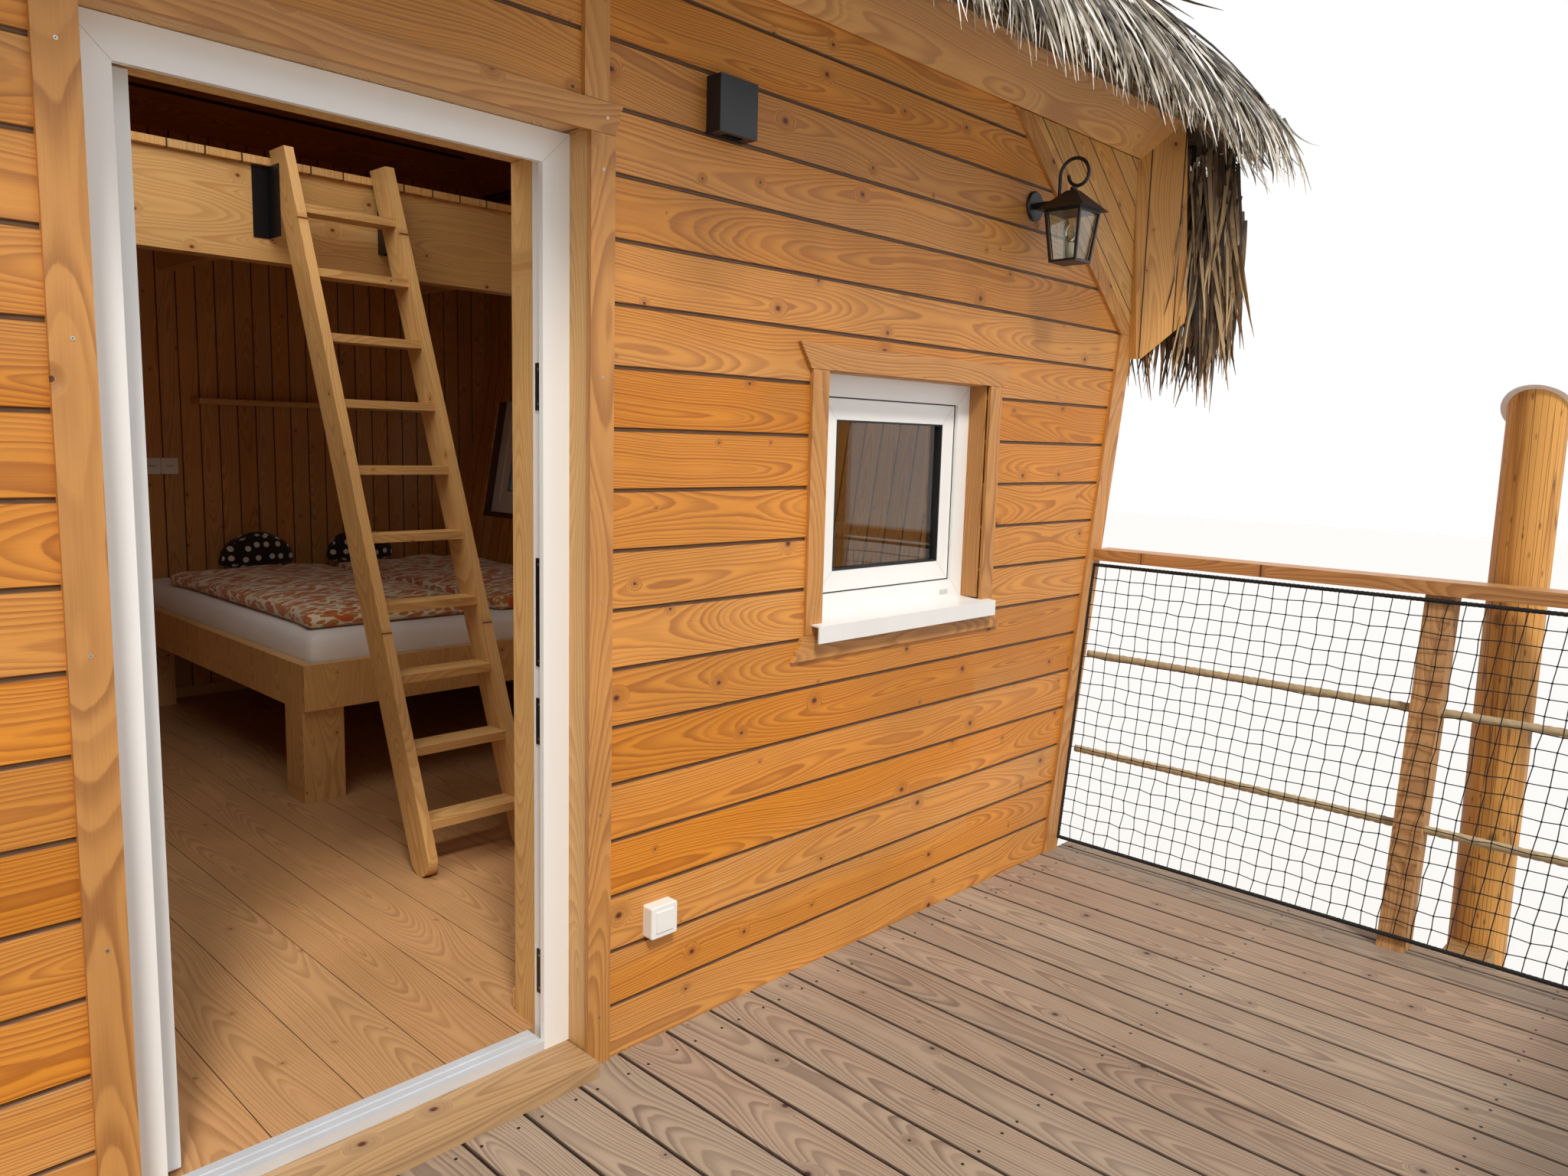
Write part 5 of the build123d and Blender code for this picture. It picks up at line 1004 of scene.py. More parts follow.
def leaf_layer(name, carrier, density, length, width, finish, lift, spread, bend, variation, across, seed):
    """Leaves grown on a carrier mesh: so many a square metre, of a length and width in metres."""
    mesh = grow(name, leaves, {
        "Density": float(density), "Length": length, "Width": width, "Across": across, "Lift": lift,
        "Spread": spread, "Bend": bend, "Variation": variation, "Seed": seed, "Finish": finish},
        carrier=carrier)
    for vertex in mesh.vertices:
        beyond = abs(vertex.co.x) - tip_limit
        if beyond > 0:
            vertex.co.x -= copysign(beyond * curl_share, vertex.co.x)
    return show(name, mesh)


def thatch(name, section, sides, density, length, width, finish, lift=0.10, spread=0.16, bend=0.0,
           variation=0.25, across=2, seed=1, facing_up=True):
    """A layer of leaves along a section of the roof."""
    return leaf_layer(name, slope_strip(name, section, sides, facing_up), density, length, width, finish,
                      lift, spread, bend, variation, across, seed)


upper_section = [crest + Vector((0.02, -0.016)), shoulder + Vector((-0.06, 0.048))]
bed_section = [point + Vector((-0.01, -0.005)) for point in arc]
bed_outline = [crest + Vector((0.0, -0.03))] + [point + Vector((-0.06, -0.05)) for point in arc[:7]]
bed_outline += [Vector((0.20, -0.10)), Vector((0.14, -0.10)), Vector((0.004, roof_rise + 0.002))]
under_section = [Vector((0.04, 0.04)), Vector((0.12, -0.02)), Vector((0.20, -0.08))]
skirt_section = [Vector((0.10, -0.06)), Vector((0.15, -0.30)), Vector((0.16, -0.62))]
for label, sides, seed in (("front_back", ("front", "back"), 31), ("sides", ("left", "right"), 41)):
    thatch(f"roof_leaves_{label}", upper_section, sides, 300, 0.46, 0.030, leaf_dry, lift=0.12, bend=0.03,
           seed=seed)
    thatch(f"eave_leaves_{label}", bed_section[:6], sides, 640, 0.38, 0.016, leaf_dry, lift=0.16, spread=0.2,
           bend=0.11, across=3, seed=seed + 1)
    thatch(f"fringe_{label}", bed_section[3:8], sides, 1150, 0.27, 0.014, leaf_dry, lift=0.10, spread=0.2,
           bend=0.11, variation=0.35, across=3, seed=seed + 2)
    thatch(f"under_fringe_{label}", under_section, sides, 900, 0.13, 0.012, leaf_shaded, lift=0.4, spread=0.4,
           variation=0.4, seed=seed + 3, facing_up=False)


def packed_bed(name, section, sides, nodes):
    """The dense inside of the thatch, a little under its leaves."""
    bed = show(name, slope_strip(name, section, sides), thatch_bed)
    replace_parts(bed, *nodes)


packed_bed("thatch_bed_slopes", bed_outline, ("front", "back"), ["thatch_slopes"])
packed_bed("thatch_bed_hips", bed_outline, ("left", "right"), ["thatch_hips"])


# The leaves' outline round a corner of the eave: out from the corner, and up
corner_outline = ((0.02, -0.10), (0.15, -0.06), (0.19, -0.36), (0.16, -0.64), (0.05, -0.64))


def hanging_leaves():
    """Brown leaves down both side skirts and round their ends at the corners of the eave."""
    skirt = slope_strip("hanging_leaves", skirt_section, ("left", "right"))
    work = bmesh.new()
    work.from_mesh(skirt)
    for x_side in (-1, 1):
        for y_side in (-1, 1):
            corner_y = middle_y + y_side * roof_half_depth
            corners = []
            for out, rise in corner_outline:
                corners.append(work.verts.new((x_side * (eave_x + out), corner_y + y_side * (out - 0.02),
                                               eave_z + rise)))
            work.faces.new(corners if x_side * y_side > 0 else corners[::-1])
    work.to_mesh(skirt)
    work.free()
    return leaf_layer("hanging_leaves", skirt, 1500, 0.34, 0.016, leaf_shaded, 0.16, 0.22, 0.03, 0.25, 2, 51)


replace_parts(hanging_leaves(), "hanging_thatch")


def strip_mesh(name, rows, facing_up=True):
    """Quads between rows of points."""
    work = bmesh.new()
    points = [[work.verts.new(spot) for spot in row] for row in rows]
    for upper, lower in zip(points, points[1:]):
        for k in range(len(upper) - 1):
            corners = [upper[k], lower[k], lower[k + 1], upper[k + 1]]
            work.faces.new(corners if facing_up else corners[::-1])
    return finished(work, name)


# Leaves down each hip, where two slopes meet, on a ridged strip
hip_half, hip_drop = 0.10, -0.05
for x_side in (-1, 1):
    for y_side in (-1, 1):
        rows = []
        for out, rise in [crest + Vector((0.1, -0.08)), arc[0] + Vector((-0.02, 0.0))]:
            corner_y = middle_y + y_side * (roof_half_depth + out)
            spot = Vector((x_side * (eave_x + out), corner_y, eave_z + rise))
            sideways = Vector((x_side * hip_half, -y_side * hip_half, hip_drop))
            other = Vector((-x_side * hip_half, y_side * hip_half, hip_drop))
            rows.append([spot + other, spot + Vector((0, 0, 0.01)), spot + sideways])
        leaf_layer(f"hip_leaves_{2 * x_side + y_side + 3}", strip_mesh("hip", rows, x_side * y_side > 0),
                   520, 0.38, 0.026, leaf_dry, 0.10, 0.22, 0.10, 0.25, 2, 55 + x_side + 2 * y_side)

# Leaves laid over the ridge cap, down both of its sides
cap_low, cap_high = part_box("ridge_cap")
cap_half, cap_drop = 0.31, 0.249
for direction in (-1, 1):
    rows = []
    for out in (0.0, 0.10, 0.20, 0.28):
        z = cap_high[2] + 0.004 - cap_drop * (out / cap_half) ** 2
        rows.append([(x, middle_y + direction * out, z) for x in (cap_low[0] + 0.02, cap_high[0] - 0.02)])
    leaf_layer("ridge_leaves_" + ("back" if direction > 0 else "front"),
               strip_mesh("ridge", rows, direction < 0), 1500, 0.24, 0.022, leaf_dry, 0.10, 0.25, 0.05,
               0.3, 2, 61)
for direction in (-1, 1):
    x = cap_high[0] if direction > 0 else cap_low[0]
    rows = [[(x - direction * 0.05, middle_y + across, cap_high[2] - 0.03 - abs(across) * 0.55)
             for across in (-0.22, 0.0, 0.22)],
            [(x + direction * 0.005, middle_y + across, cap_high[2] - 0.05 - abs(across) * 0.6)
             for across in (-0.22, 0.0, 0.22)]]
    leaf_layer("ridge_end_" + ("right" if direction > 0 else "left"), strip_mesh("end", rows, direction > 0),
               2600, 0.20, 0.020, leaf_dry, 0.2, 0.3, 0.05, 0.3, 2, 63)


# Railing net and ropes

def net_tree():
    """A knotted net: a grid of cords that wanders a little, a knot at each crossing."""
    tree, given = start_tree("net", [
        ("Columns", "Int"), ("Rows", "Int"), ("Height", "Float"), ("Foot length", "Float"),
        ("Head length", "Float"), ("Cord", "Float"), ("Knot", "Float"), ("Unevenness", "Float"),
        ("Seed", "Int"), ("Finish", "Material")])
    columns = add(tree, "ShaderNodeMath", {0: given["Columns"], 1: 1.0}, operation="ADD")
    rows = add(tree, "ShaderNodeMath", {0: given["Rows"], 1: 1.0}, operation="ADD")
    grid = add(tree, "GeometryNodeMeshGrid",
               {"Size X": 1.0, "Size Y": 1.0, "Vertices X": columns, "Vertices Y": rows})
    point = add(tree, "ShaderNodeSeparateXYZ", {0: add(tree, "GeometryNodeInputPosition")})
    share_x = add(tree, "ShaderNodeMath", {0: point.outputs[0], 1: 0.5}, operation="ADD")
    share_y = add(tree, "ShaderNodeMath", {0: point.outputs[1], 1: 0.5}, operation="ADD")
    more = add(tree, "ShaderNodeMath", {0: given["Head length"], 1: given["Foot length"]},
               operation="SUBTRACT")
    length = add(tree, "ShaderNodeMath", {0: more, 1: share_y, 2: given["Foot length"]},
                 operation="MULTIPLY_ADD")
    x = add(tree, "ShaderNodeMath", {0: share_x, 1: length}, operation="MULTIPLY")
    x = add(tree, "ShaderNodeMath", {0: x, 1: -1.0}, operation="MULTIPLY")
    y = add(tree, "ShaderNodeMath", {0: share_y, 1: given["Height"]}, operation="MULTIPLY")
    spot = add(tree, "ShaderNodeCombineXYZ", {0: x, 1: y})
    least = add(tree, "ShaderNodeMath", {0: given["Unevenness"], 1: -1.0}, operation="MULTIPLY")
    least = add(tree, "ShaderNodeCombineXYZ", {0: least, 1: least, 2: least})
    most = add(tree, "ShaderNodeVectorMath", {0: least, 1: (-1, -1, -1)}, operation="MULTIPLY")
    wander = add(tree, "FunctionNodeRandomValue", {0: least, 1: most, 8: given["Seed"]},
                 data_type="FLOAT_VECTOR")
    net = add(tree, "GeometryNodeSetPosition", {"Geometry": grid, "Position": spot, "Offset": wander})
    lines = add(tree, "GeometryNodeMeshToCurve", {0: net})
    cord_half = add(tree, "ShaderNodeMath", {0: given["Cord"], 1: 0.5}, operation="MULTIPLY")
    section = add(tree, "GeometryNodeCurvePrimitiveCircle", {"Resolution": 4, "Radius": cord_half})
    cords = add(tree, "GeometryNodeCurveToMesh", {0: lines, 1: section})
    knot_half = add(tree, "ShaderNodeMath", {0: given["Knot"], 1: 0.5}, operation="MULTIPLY")
    ball = add(tree, "GeometryNodeMeshIcoSphere", {"Radius": knot_half, "Subdivisions": 1})
    dots = add(tree, "GeometryNodeMeshToPoints", {0: net})
    knots = add(tree, "GeometryNodeInstanceOnPoints", {"Points": dots, "Instance": ball})
    joined = add(tree, "GeometryNodeJoinGeometry", {0: cords})
    feed(tree, joined, {0: knots})
    real = add(tree, "GeometryNodeRealizeInstances", {0: joined})
    return end_tree(tree, real, given["Finish"])


nets = net_tree()


def laid_rope(name, routes, diameter, finish, lay=3.2, sides=12):
    """Three-strand rope on straight or bent routes: a trefoil section that turns along each."""
    work = bmesh.new()
    for route in routes:
        points = [Vector(point) for point in route]
        stations = []
        for start, end in zip(points, points[1:]):
            steps = max(2, int((end - start).length / (diameter * lay / 9)))
            stations += [start.lerp(end, k / steps) for k in range(steps)]
        stations.append(points[-1])
        travelled = 0.0
        rings = []
        side = None
        for k, spot in enumerate(stations):
            ahead = stations[min(k + 1, len(stations) - 1)] - stations[max(k - 1, 0)]
            ahead.normalize()
            if side is None:
                side = ahead.orthogonal().normalized()
            side = (side - ahead * side.dot(ahead)).normalized()
            other = ahead.cross(side)
            if k:
                travelled += (spot - stations[k - 1]).length
            turn = 2 * pi * travelled / (diameter * lay)
            ring = []
            for step in range(sides):
                angle = 2 * pi * step / sides
                bulge = abs(cos(1.5 * (angle - turn)))
                reach = diameter / 2 * (0.74 + 0.26 * bulge ** 0.6)
                ring.append(work.verts.new(spot + (side * cos(angle) + other * sin(angle)) * reach))
            rings.append(ring)
        for first, second in zip(rings, rings[1:]):
            for step in range(sides):
                after = (step + 1) % sides
                work.faces.new((first[step], first[after], second[after], second[step]))
        work.faces.new(rings[0][::-1])
        work.faces.new(rings[-1])
    bmesh.ops.recalc_face_normals(work, faces=work.faces[:])
    return show(name, finished(work, name, smooth=True), finish)


post_lean = radians(8)
railing_lean = tan(post_lean)
post_inset = 0.056           # a post's middle from the edge of the deck
post_x = 2.390 - post_inset
post_y = deck_low[1] + post_inset
gate_x = (1.476 + 0.080) / 2
net_low, net_high = 0.045, 1.066
net_inset = 0.0473 / cos(post_lean)
net_height = (net_high - net_low) / cos(post_lean)
border_cord, hemp_rope = 0.014, 0.028
side_net_x = post_x - net_inset
front_net_y = post_y + net_inset


def hang_net(name, place, foot_length, head_length, seed, corners):
    """A net in its own frame, put in place, with a border cord through its corners."""
    mesh = grow(name, nets, {
        "Columns": round(foot_length / mesh_pitch), "Rows": round(net_height / mesh_pitch),
        "Height": net_height, "Foot length": foot_length, "Head length": head_length, "Cord": 0.003,
        "Knot": 0.0075, "Unevenness": 0.0035, "Seed": seed, "Finish": net_cord}, place=place)
    net = show(name, mesh)
    laid_rope(f"{name}_border", [corners + corners[:1]], border_cord, net_cord, sides=9)
    return net


for side, direction in (("left", -1), ("right", 1)):
    wall_end = wall_y - 0.016
    foot, head = [(direction * (side_net_x + railing_lean * h), front_net_y - railing_lean * h, deck_z + h)
                  for h in (net_low, net_high)]
    # The side net's own X runs from the wall to the corner, the front net's from the gate
    place = Matrix.Translation((foot[0], wall_end, foot[2])) @ Matrix((
        (0, direction * sin(post_lean), direction, 0), (1, 0, 0, 0), (0, cos(post_lean), 0, 0), (0, 0, 0, 1)))
    piece = hang_net(f"{side}_net", place, wall_end - foot[1], wall_end - head[1], 71 + direction,
                     [(foot[0], wall_end, foot[2]), foot, head, (head[0], wall_end, head[2])])
    if side == "left":
        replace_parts(piece, "railing_side_nets")
    gate_end = direction * (gate_x - 0.040)
    place = Matrix.Translation((gate_end, foot[1], foot[2])) @ Matrix((
        (-direction, 0, 0, 0), (0, -sin(post_lean), -1, 0), (0, cos(post_lean), 0, 0), (0, 0, 0, 1)))
    piece = hang_net(f"{side}_front_net", place, abs(foot[0] - gate_end), abs(head[0] - gate_end),
                     81 + direction,
                     [(gate_end, foot[1], foot[2]), foot, head, (gate_end, head[1], head[2])])
    if side == "left":
        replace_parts(piece, "railing_front_nets")

hemp_routes = []
for rise in (0.370, 0.728):
    x, y, z = post_x + railing_lean * rise, post_y - railing_lean * rise, deck_z + rise
    for direction in (-1, 1):
        hemp_routes.append([(direction * x, wall_y - 0.0155, z), (direction * x, y + 0.015, z)])
        hemp_routes.append([(direction * gate_x, y, z), (direction * x, y, z)])
hemp_ropes = laid_rope("laid_hemp_ropes", hemp_routes, hemp_rope, hemp)
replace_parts(hemp_ropes, "hemp_ropes")


# Small fittings

def screw_tree():
    """Screw heads on the carrier's points, facing the way that each point's attribute says."""
    tree, given = start_tree("screws", [
        ("Diameter", "Float"), ("Finish", "Material"), ("Recess", "Material")])
    half = add(tree, "ShaderNodeMath", {0: given["Diameter"], 1: 0.5}, operation="MULTIPLY")
    third = add(tree, "ShaderNodeMath", {0: half, 1: 0.36}, operation="MULTIPLY")
    both = add(tree, "GeometryNodeJoinGeometry")
    # The recess is a black disc just proud of the head: painted shade for the hollow of the drive
    for sides, radius, depth, finish in ((12, half, 0.0016, "Finish"), (6, third, 0.0018, "Recess")):
        disc = add(tree, "GeometryNodeMeshCylinder", {"Vertices": sides, "Radius": radius, "Depth": depth})
        disc = add(tree, "GeometryNodeSetMaterial", {"Geometry": disc, "Material": given[finish]})
        feed(tree, both, {0: disc})
    facing = add(tree, "GeometryNodeInputNamedAttribute", {"Name": "facing"}, data_type="FLOAT_VECTOR")
    turn = add(tree, "FunctionNodeAlignRotationToVector", {"Vector": facing}, axis="Z")
    dots = add(tree, "GeometryNodeMeshToPoints", {0: given["Carrier"]})
    driven = add(tree, "GeometryNodeInstanceOnPoints", {"Points": dots, "Instance": both, "Rotation": turn})
    real = add(tree, "GeometryNodeRealizeInstances", {0: driven})
    add(tree, "NodeGroupOutput", {0: real})
    return tree


screws = screw_tree()


def drive_screws(name, spots, diameter=0.007, finish=zinc):
    """Screw heads at (place, direction) spots."""
    carrier = bpy.data.meshes.new(name)
    carrier.from_pydata([place for place, _ in spots], [], [])
    facing = carrier.attributes.new("facing", "FLOAT_VECTOR", "POINT")
    for k, (_, direction) in enumerate(spots):
        facing.data[k].vector = direction
    mesh = grow(name, screws, {"Diameter": diameter, "Finish": finish, "Recess": seal_rubber},
                carrier=carrier)
    return show(name, mesh)


trim_depth = 0.0150
trim_face = wall_y - trim_depth
board_middle = 0.032         # a trim board's middle from the opening's side
door_rises = (0.12, 0.62, 1.12, 1.62, 2.06)          # screws above the deck, on the door's trim
corner_rises = (0.15, 0.65, 1.15, 1.65)              # and on the corner boards
corner_proud, corner_screw = 0.022, 0.046            # a corner board's edge out, its screws in from it
front = (0, -1, 0)
spots = []
trim_half = (doorway_x[1] - doorway_x[0]) / 2 - 0.015
door_middle = sum(doorway_x) / 2
for direction in (-1, 1):
    x = door_middle + direction * (trim_half + board_middle)
    spots += [((x, trim_face, deck_z + rise), front) for rise in door_rises]
    spots += [((x + direction * 0.01, trim_face, door_head + head_board / 2), front)]
    spots += [((sum(window_x) / 2 + direction * (window_width / 2 + board_middle), trim_face, z), front)
              for z in (window_z[0] + 0.05, window_z[1] - 0.06)]
    for rise in corner_rises:
        edge = base_half_width + corner_proud + lean * rise - corner_screw
        spots += [((direction * edge, trim_face, deck_z + rise), front),
                  ((direction * edge, back_y + trim_depth, deck_z + rise), (0, 1, 0))]
drive_screws("trim_screws", spots)
spots = []
joist_rows, row_inset, screw_offset, last_screw = 4, 0.09, 0.045, 2.37
for row in range(joist_rows):
    y = deck_low[1] + row_inset + row * (deck_high[1] - deck_low[1] - 2 * row_inset) / (joist_rows - 1)
    for board in range(deck_first, deck_first + deck_count):
        middle = deck_start + (deck_pitch - deck_gap) / 2 + board * deck_pitch
        spots += [((middle + shift, y, deck_high[2]), (0, 0, 1)) for shift in (-screw_offset, screw_offset)
                  if abs(middle + shift) < last_screw]
drive_screws("deck_screws", spots, diameter=0.0075, finish=dark_zinc)


def box_mesh(name, boxes):
    """Boxes given as (low corner, high corner)."""
    work = bmesh.new()
    for low, high in boxes:
        middle = (Vector(low) + Vector(high)) / 2
        size = Vector(high) - Vector(low)
        bmesh.ops.create_cube(work, size=1, matrix=Matrix.Translation(middle) @ Matrix.Diagonal((*size, 1)))
    return finished(work, name)


def eased(name, boxes, finish, width=0.001, body="cabin"):
    """Boxes with eased edges."""
    mesh = box_mesh(name, boxes)
    work = bmesh.new()
    work.from_mesh(mesh)
    bmesh.ops.bevel(work, geom=work.edges[:], offset=width, segments=2, affect="EDGES", clamp_overlap=True)
    work.to_mesh(mesh)
    work.free()
    return show(name, mesh, finish, body=body)


# Seals between glass, sash and frame of each window
window_frames = [placed((sum(window_x) / 2, wall_y, window_z[0]), (1, 0, 0), (0, 0, 1))]
for direction in (1, -1):
    upslope, outward = up_the_wall(direction)
    half_width = base_half_width + lean * (window_z[0] - deck_z)
    foot = Vector((direction * half_width, side_window_y, window_z[0]))
    window_frames.append(placed(foot, upslope.cross(outward), upslope))


def ring_boxes(half_width, low, high, band, front_depth, back_depth):
    """Four strips of a rectangular ring in a window's own frame."""
    return [
        ((-half_width, low, back_depth), (-half_width + band, high, front_depth)),
        ((half_width - band, low, back_depth), (half_width, high, front_depth)),
        ((-half_width + band, low, back_depth), (half_width - band, low + band, front_depth)),
        ((-half_width + band, high - band, back_depth), (half_width - band, high, front_depth)),
    ]


def mitre(corner_x, corner_y, toward_x, toward_y, length, depth):
    """A hair-thin raised bead across the corner of a plastic frame."""
    bead = box_mesh("bead", [((0.001, -0.0007, depth), (length, 0.0007, depth + 0.0003))])
    bead.transform(placed((corner_x, corner_y, 0), (toward_x, toward_y, 0), (-toward_y, toward_x, 0)))
    return bead


# In each window's own frame Z is out of the wall: frame and sash stand back in it
half = window_width / 2
top = window_height - 0.0004
frame_face, sash_face = -0.0600, -0.0720
frame_band, glass_band = 0.0695, 0.1335
lining_back, lining_front = -0.0597, -0.0004
sash_back, seal_back, glass_back = -0.0712, -0.080, -0.1215
diagonal = 1.414
seals = bmesh.new()
caps = bmesh.new()
linings = bmesh.new()
welds = bmesh.new()
for place in window_frames:
    boards_in = [((side - 0.004, 0.0135, lining_back), (side + 0.004, top, lining_front))
                 for side in (-half + 0.0044, half - 0.0044)]
    boards_in.append(((-half + 0.0088, top - 0.008, lining_back), (half - 0.0088, top, lining_front)))
    strips = ring_boxes(half - frame_band, frame_band, window_height - frame_band, 0.004,
                        sash_back, seal_back)
    strips += ring_boxes(half - glass_band, glass_band, window_height - glass_band, 0.005,
                         sash_back, glass_back)
    parts = [(linings, box_mesh("lining", boards_in)), (seals, box_mesh("strip", strips)),
             (caps, box_mesh("cap", [((half - 0.125, 0.026, -0.0605), (half - 0.085, 0.040, -0.0575))]))]
    for inset, width, face in ((0.0005, 0.068, frame_face), (0.0703, 0.0625, sash_face)):
        for side in (-1, 1):
            for y, direction in ((inset, 1), (window_height - inset, -1)):
                bead = mitre(side * (half - inset), y, -side, direction, width * diagonal, face)
                parts.append((welds, bead))
    for work, mesh in parts:
        mesh.transform(place)
        work.from_mesh(mesh)
frame_low, frame_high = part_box("door_frame")
for x, direction in ((frame_low[0], 1), (frame_high[0], -1)):
    mesh = mitre(x, frame_high[2], direction, -1, 0.069 * diagonal, 0.0)
    mesh.transform(placed((0, frame_low[1], 0), (1, 0, 0), (0, 0, 1)))
    welds.from_mesh(mesh)
for name, work, finish, slot in (("window_seals", seals, seal_rubber, "black_steel"),
                                 ("window_linings", linings, larch_window, "larch_trim"),
                                 ("frame_welds", welds, weld_plastic, "white_plastic"),
                                 ("drain_caps", caps, weld_plastic, "white_plastic")):
    show(name, finished(work, name), finish)

# Door seal in the rebate and the steel keeps of the lock on the right jamb
stop_y = frame_low[1] + 0.015
jamb_width = 0.0697
door_clear = (frame_low[0] + jamb_width, frame_high[0] - jamb_width)
clear_top = frame_high[2] - jamb_width
seal_foot, seal_y = deck_z + 0.07, stop_y + 0.004
seal_boxes = [
    ((door_clear[0] - 0.012, stop_y, seal_foot), (door_clear[0] - 0.004, seal_y, clear_top + 0.01)),
    ((door_clear[1] + 0.004, stop_y, seal_foot), (door_clear[1] + 0.012, seal_y, clear_top + 0.01)),
    ((door_clear[0] - 0.004, stop_y, clear_top + 0.003), (door_clear[1] + 0.004, seal_y, clear_top + 0.010)),
]
eased("door_seal", seal_boxes, seal_rubber, 0.0008)
jamb_x = door_clear[1] + 0.020
keep_boxes = []
keep_spots = []
keep_rises = ((1.545, 1.650), (0.960, 1.212), (0.775, 0.885), (0.160, 0.270))   # as seen, above the deck
for low_rise, high_rise in keep_rises:
    keep_boxes.append(((jamb_x - 0.003, stop_y + 0.018, deck_z + low_rise),
                       (jamb_x + 0.0005, stop_y + 0.042, deck_z + high_rise)))
    keep_spots += [((jamb_x - 0.003, stop_y + 0.030, deck_z + rise), (-1, 0, 0))
                   for rise in (low_rise + 0.014, high_rise - 0.014)]
eased("lock_keeps", keep_boxes, dark_zinc, 0.0005)
drive_screws("keep_screws", keep_spots, diameter=0.006)


def turned(name, profile, centre, finish, sides=24):
    """A round piece: its (radius, level) profile turned about an upright axis."""
    work = bmesh.new()
    rings = []
    for radius, rise in profile:
        rings.append([work.verts.new((centre[0] + radius * cos(2 * pi * k / sides),
                                      centre[1] + radius * sin(2 * pi * k / sides), centre[2] + rise))
                      for k in range(sides)])
    for first, second in zip(rings, rings[1:]):
        for k in range(sides):
            after = (k + 1) % sides
            work.faces.new((first[k], first[after], second[after], second[k]))
    work.faces.new(rings[0][::-1])
    work.faces.new(rings[-1])
    bmesh.ops.recalc_face_normals(work, faces=work.faces[:])
    return show(name, finished(work, name, smooth=True), finish)


glass_low, glass_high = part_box("lantern_glass")
lantern_spot = ((glass_low[0] + glass_high[0]) / 2, (glass_low[1] + glass_high[1]) / 2, glass_low[2])
turned("candle_sleeve", [(0.012, 0.001), (0.012, 0.052), (0.010, 0.055), (0.004, 0.0555)], lantern_spot,
       candle_wax)
turned("lantern_bulb", [(0.004, 0.056), (0.009, 0.060), (0.0165, 0.078), (0.0170, 0.088), (0.012, 0.103),
                        (0.004, 0.118), (0.0008, 0.122)], lantern_spot, glass)

# Double socket on the back wall, and the skirting
socket_z = deck_z + 1.279
socket_y = room_back_y - lining_depth
socket_half = 0.041
eased("wall_socket", [((low_x, socket_y - 0.010, socket_z - socket_half),
                       (high_x, socket_y + 0.002, socket_z + socket_half))
                      for low_x, high_x in ((0.462, 0.543), (0.545, 0.626))],
      switch_plastic, 0.003)
# Black discs on the socket faces: painted shade in each recessed dish
for k, x in enumerate((0.5025, 0.5855)):
    turned(f"socket_dish_{k}", [(0.0195, 0.0), (0.0195, 0.001), (0.012, 0.0012)],
           (x, socket_y - 0.0112, socket_z), seal_rubber, sides=20)
skirting_face, skirting_top = 0.026, floor_z + 0.055
front_near, front_far = room_front_y + lining_depth, room_front_y + skirting_face
back_near, back_far = room_back_y - skirting_face, room_back_y - lining_depth
skirting = [
    ((-inner_base, back_near, floor_z), (inner_base, back_far, skirting_top)),
    ((door_clear[1] + 0.03, front_near, floor_z), (inner_base, front_far, skirting_top)),
    ((-inner_base, front_near, floor_z), (door_clear[0] - 0.12, front_far, skirting_top)),
]
eased("skirting_boards", skirting, joinery, 0.003)


# Bedding

def soft_block(name, low, high, cells, round_edge):
    """A closed quad block with rounded edges; bedding later gives it a UV map in metres for cloth."""
    size = Vector(high) - Vector(low)
    counts = [max(2, round(size[k] / cells)) for k in range(3)]
    work = bmesh.new()
    found = {}

    def vertex(i, j, k):
        key = (i, j, k)
        if key not in found:
            found[key] = work.verts.new((low[0] + size[0] * i / counts[0], low[1] + size[1] * j / counts[1],
                                         low[2] + size[2] * k / counts[2]))
        return found[key]

    for axis in range(3):
        first, second = [k for k in range(3) if k != axis]
        for end in (0, counts[axis]):
            for i in range(counts[first]):
                for j in range(counts[second]):
                    corners = []
                    for di, dj in ((0, 0), (1, 0), (1, 1), (0, 1)):
                        index = [0, 0, 0]
                        index[axis], index[first], index[second] = end, i + di, j + dj
                        corners.append(vertex(*index))
                    work.faces.new(corners)
    bmesh.ops.recalc_face_normals(work, faces=work.faces[:])
    middle = (Vector(low) + Vector(high)) / 2
    inner = [max(size[k] / 2 - round_edge, 0.0) for k in range(3)]
    for corner in work.verts:
        offset = corner.co - middle
        core = Vector([max(-inner[k], min(inner[k], offset[k])) for k in range(3)])
        away = offset - core
        if away.length > 1e-6:
            corner.co = middle + core + away.normalized() * min(away.length, round_edge)
    return finished(work, name)


def cloth_map(mesh):
    """UV map in metres, seen from above, or from the front on upright faces."""
    layer = mesh.uv_layers.new(name="cloth")
    for polygon in mesh.polygons:
        normal = polygon.normal
        for loop in polygon.loop_indices:
            spot = mesh.vertices[mesh.loops[loop].vertex_index].co
            if abs(normal.z) > 0.6:
                layer.data[loop].uv = (spot.x, spot.y)
            elif abs(normal.y) > abs(normal.x):
                layer.data[loop].uv = (spot.x, spot.z)
            else:
                layer.data[loop].uv = (spot.y, spot.z)


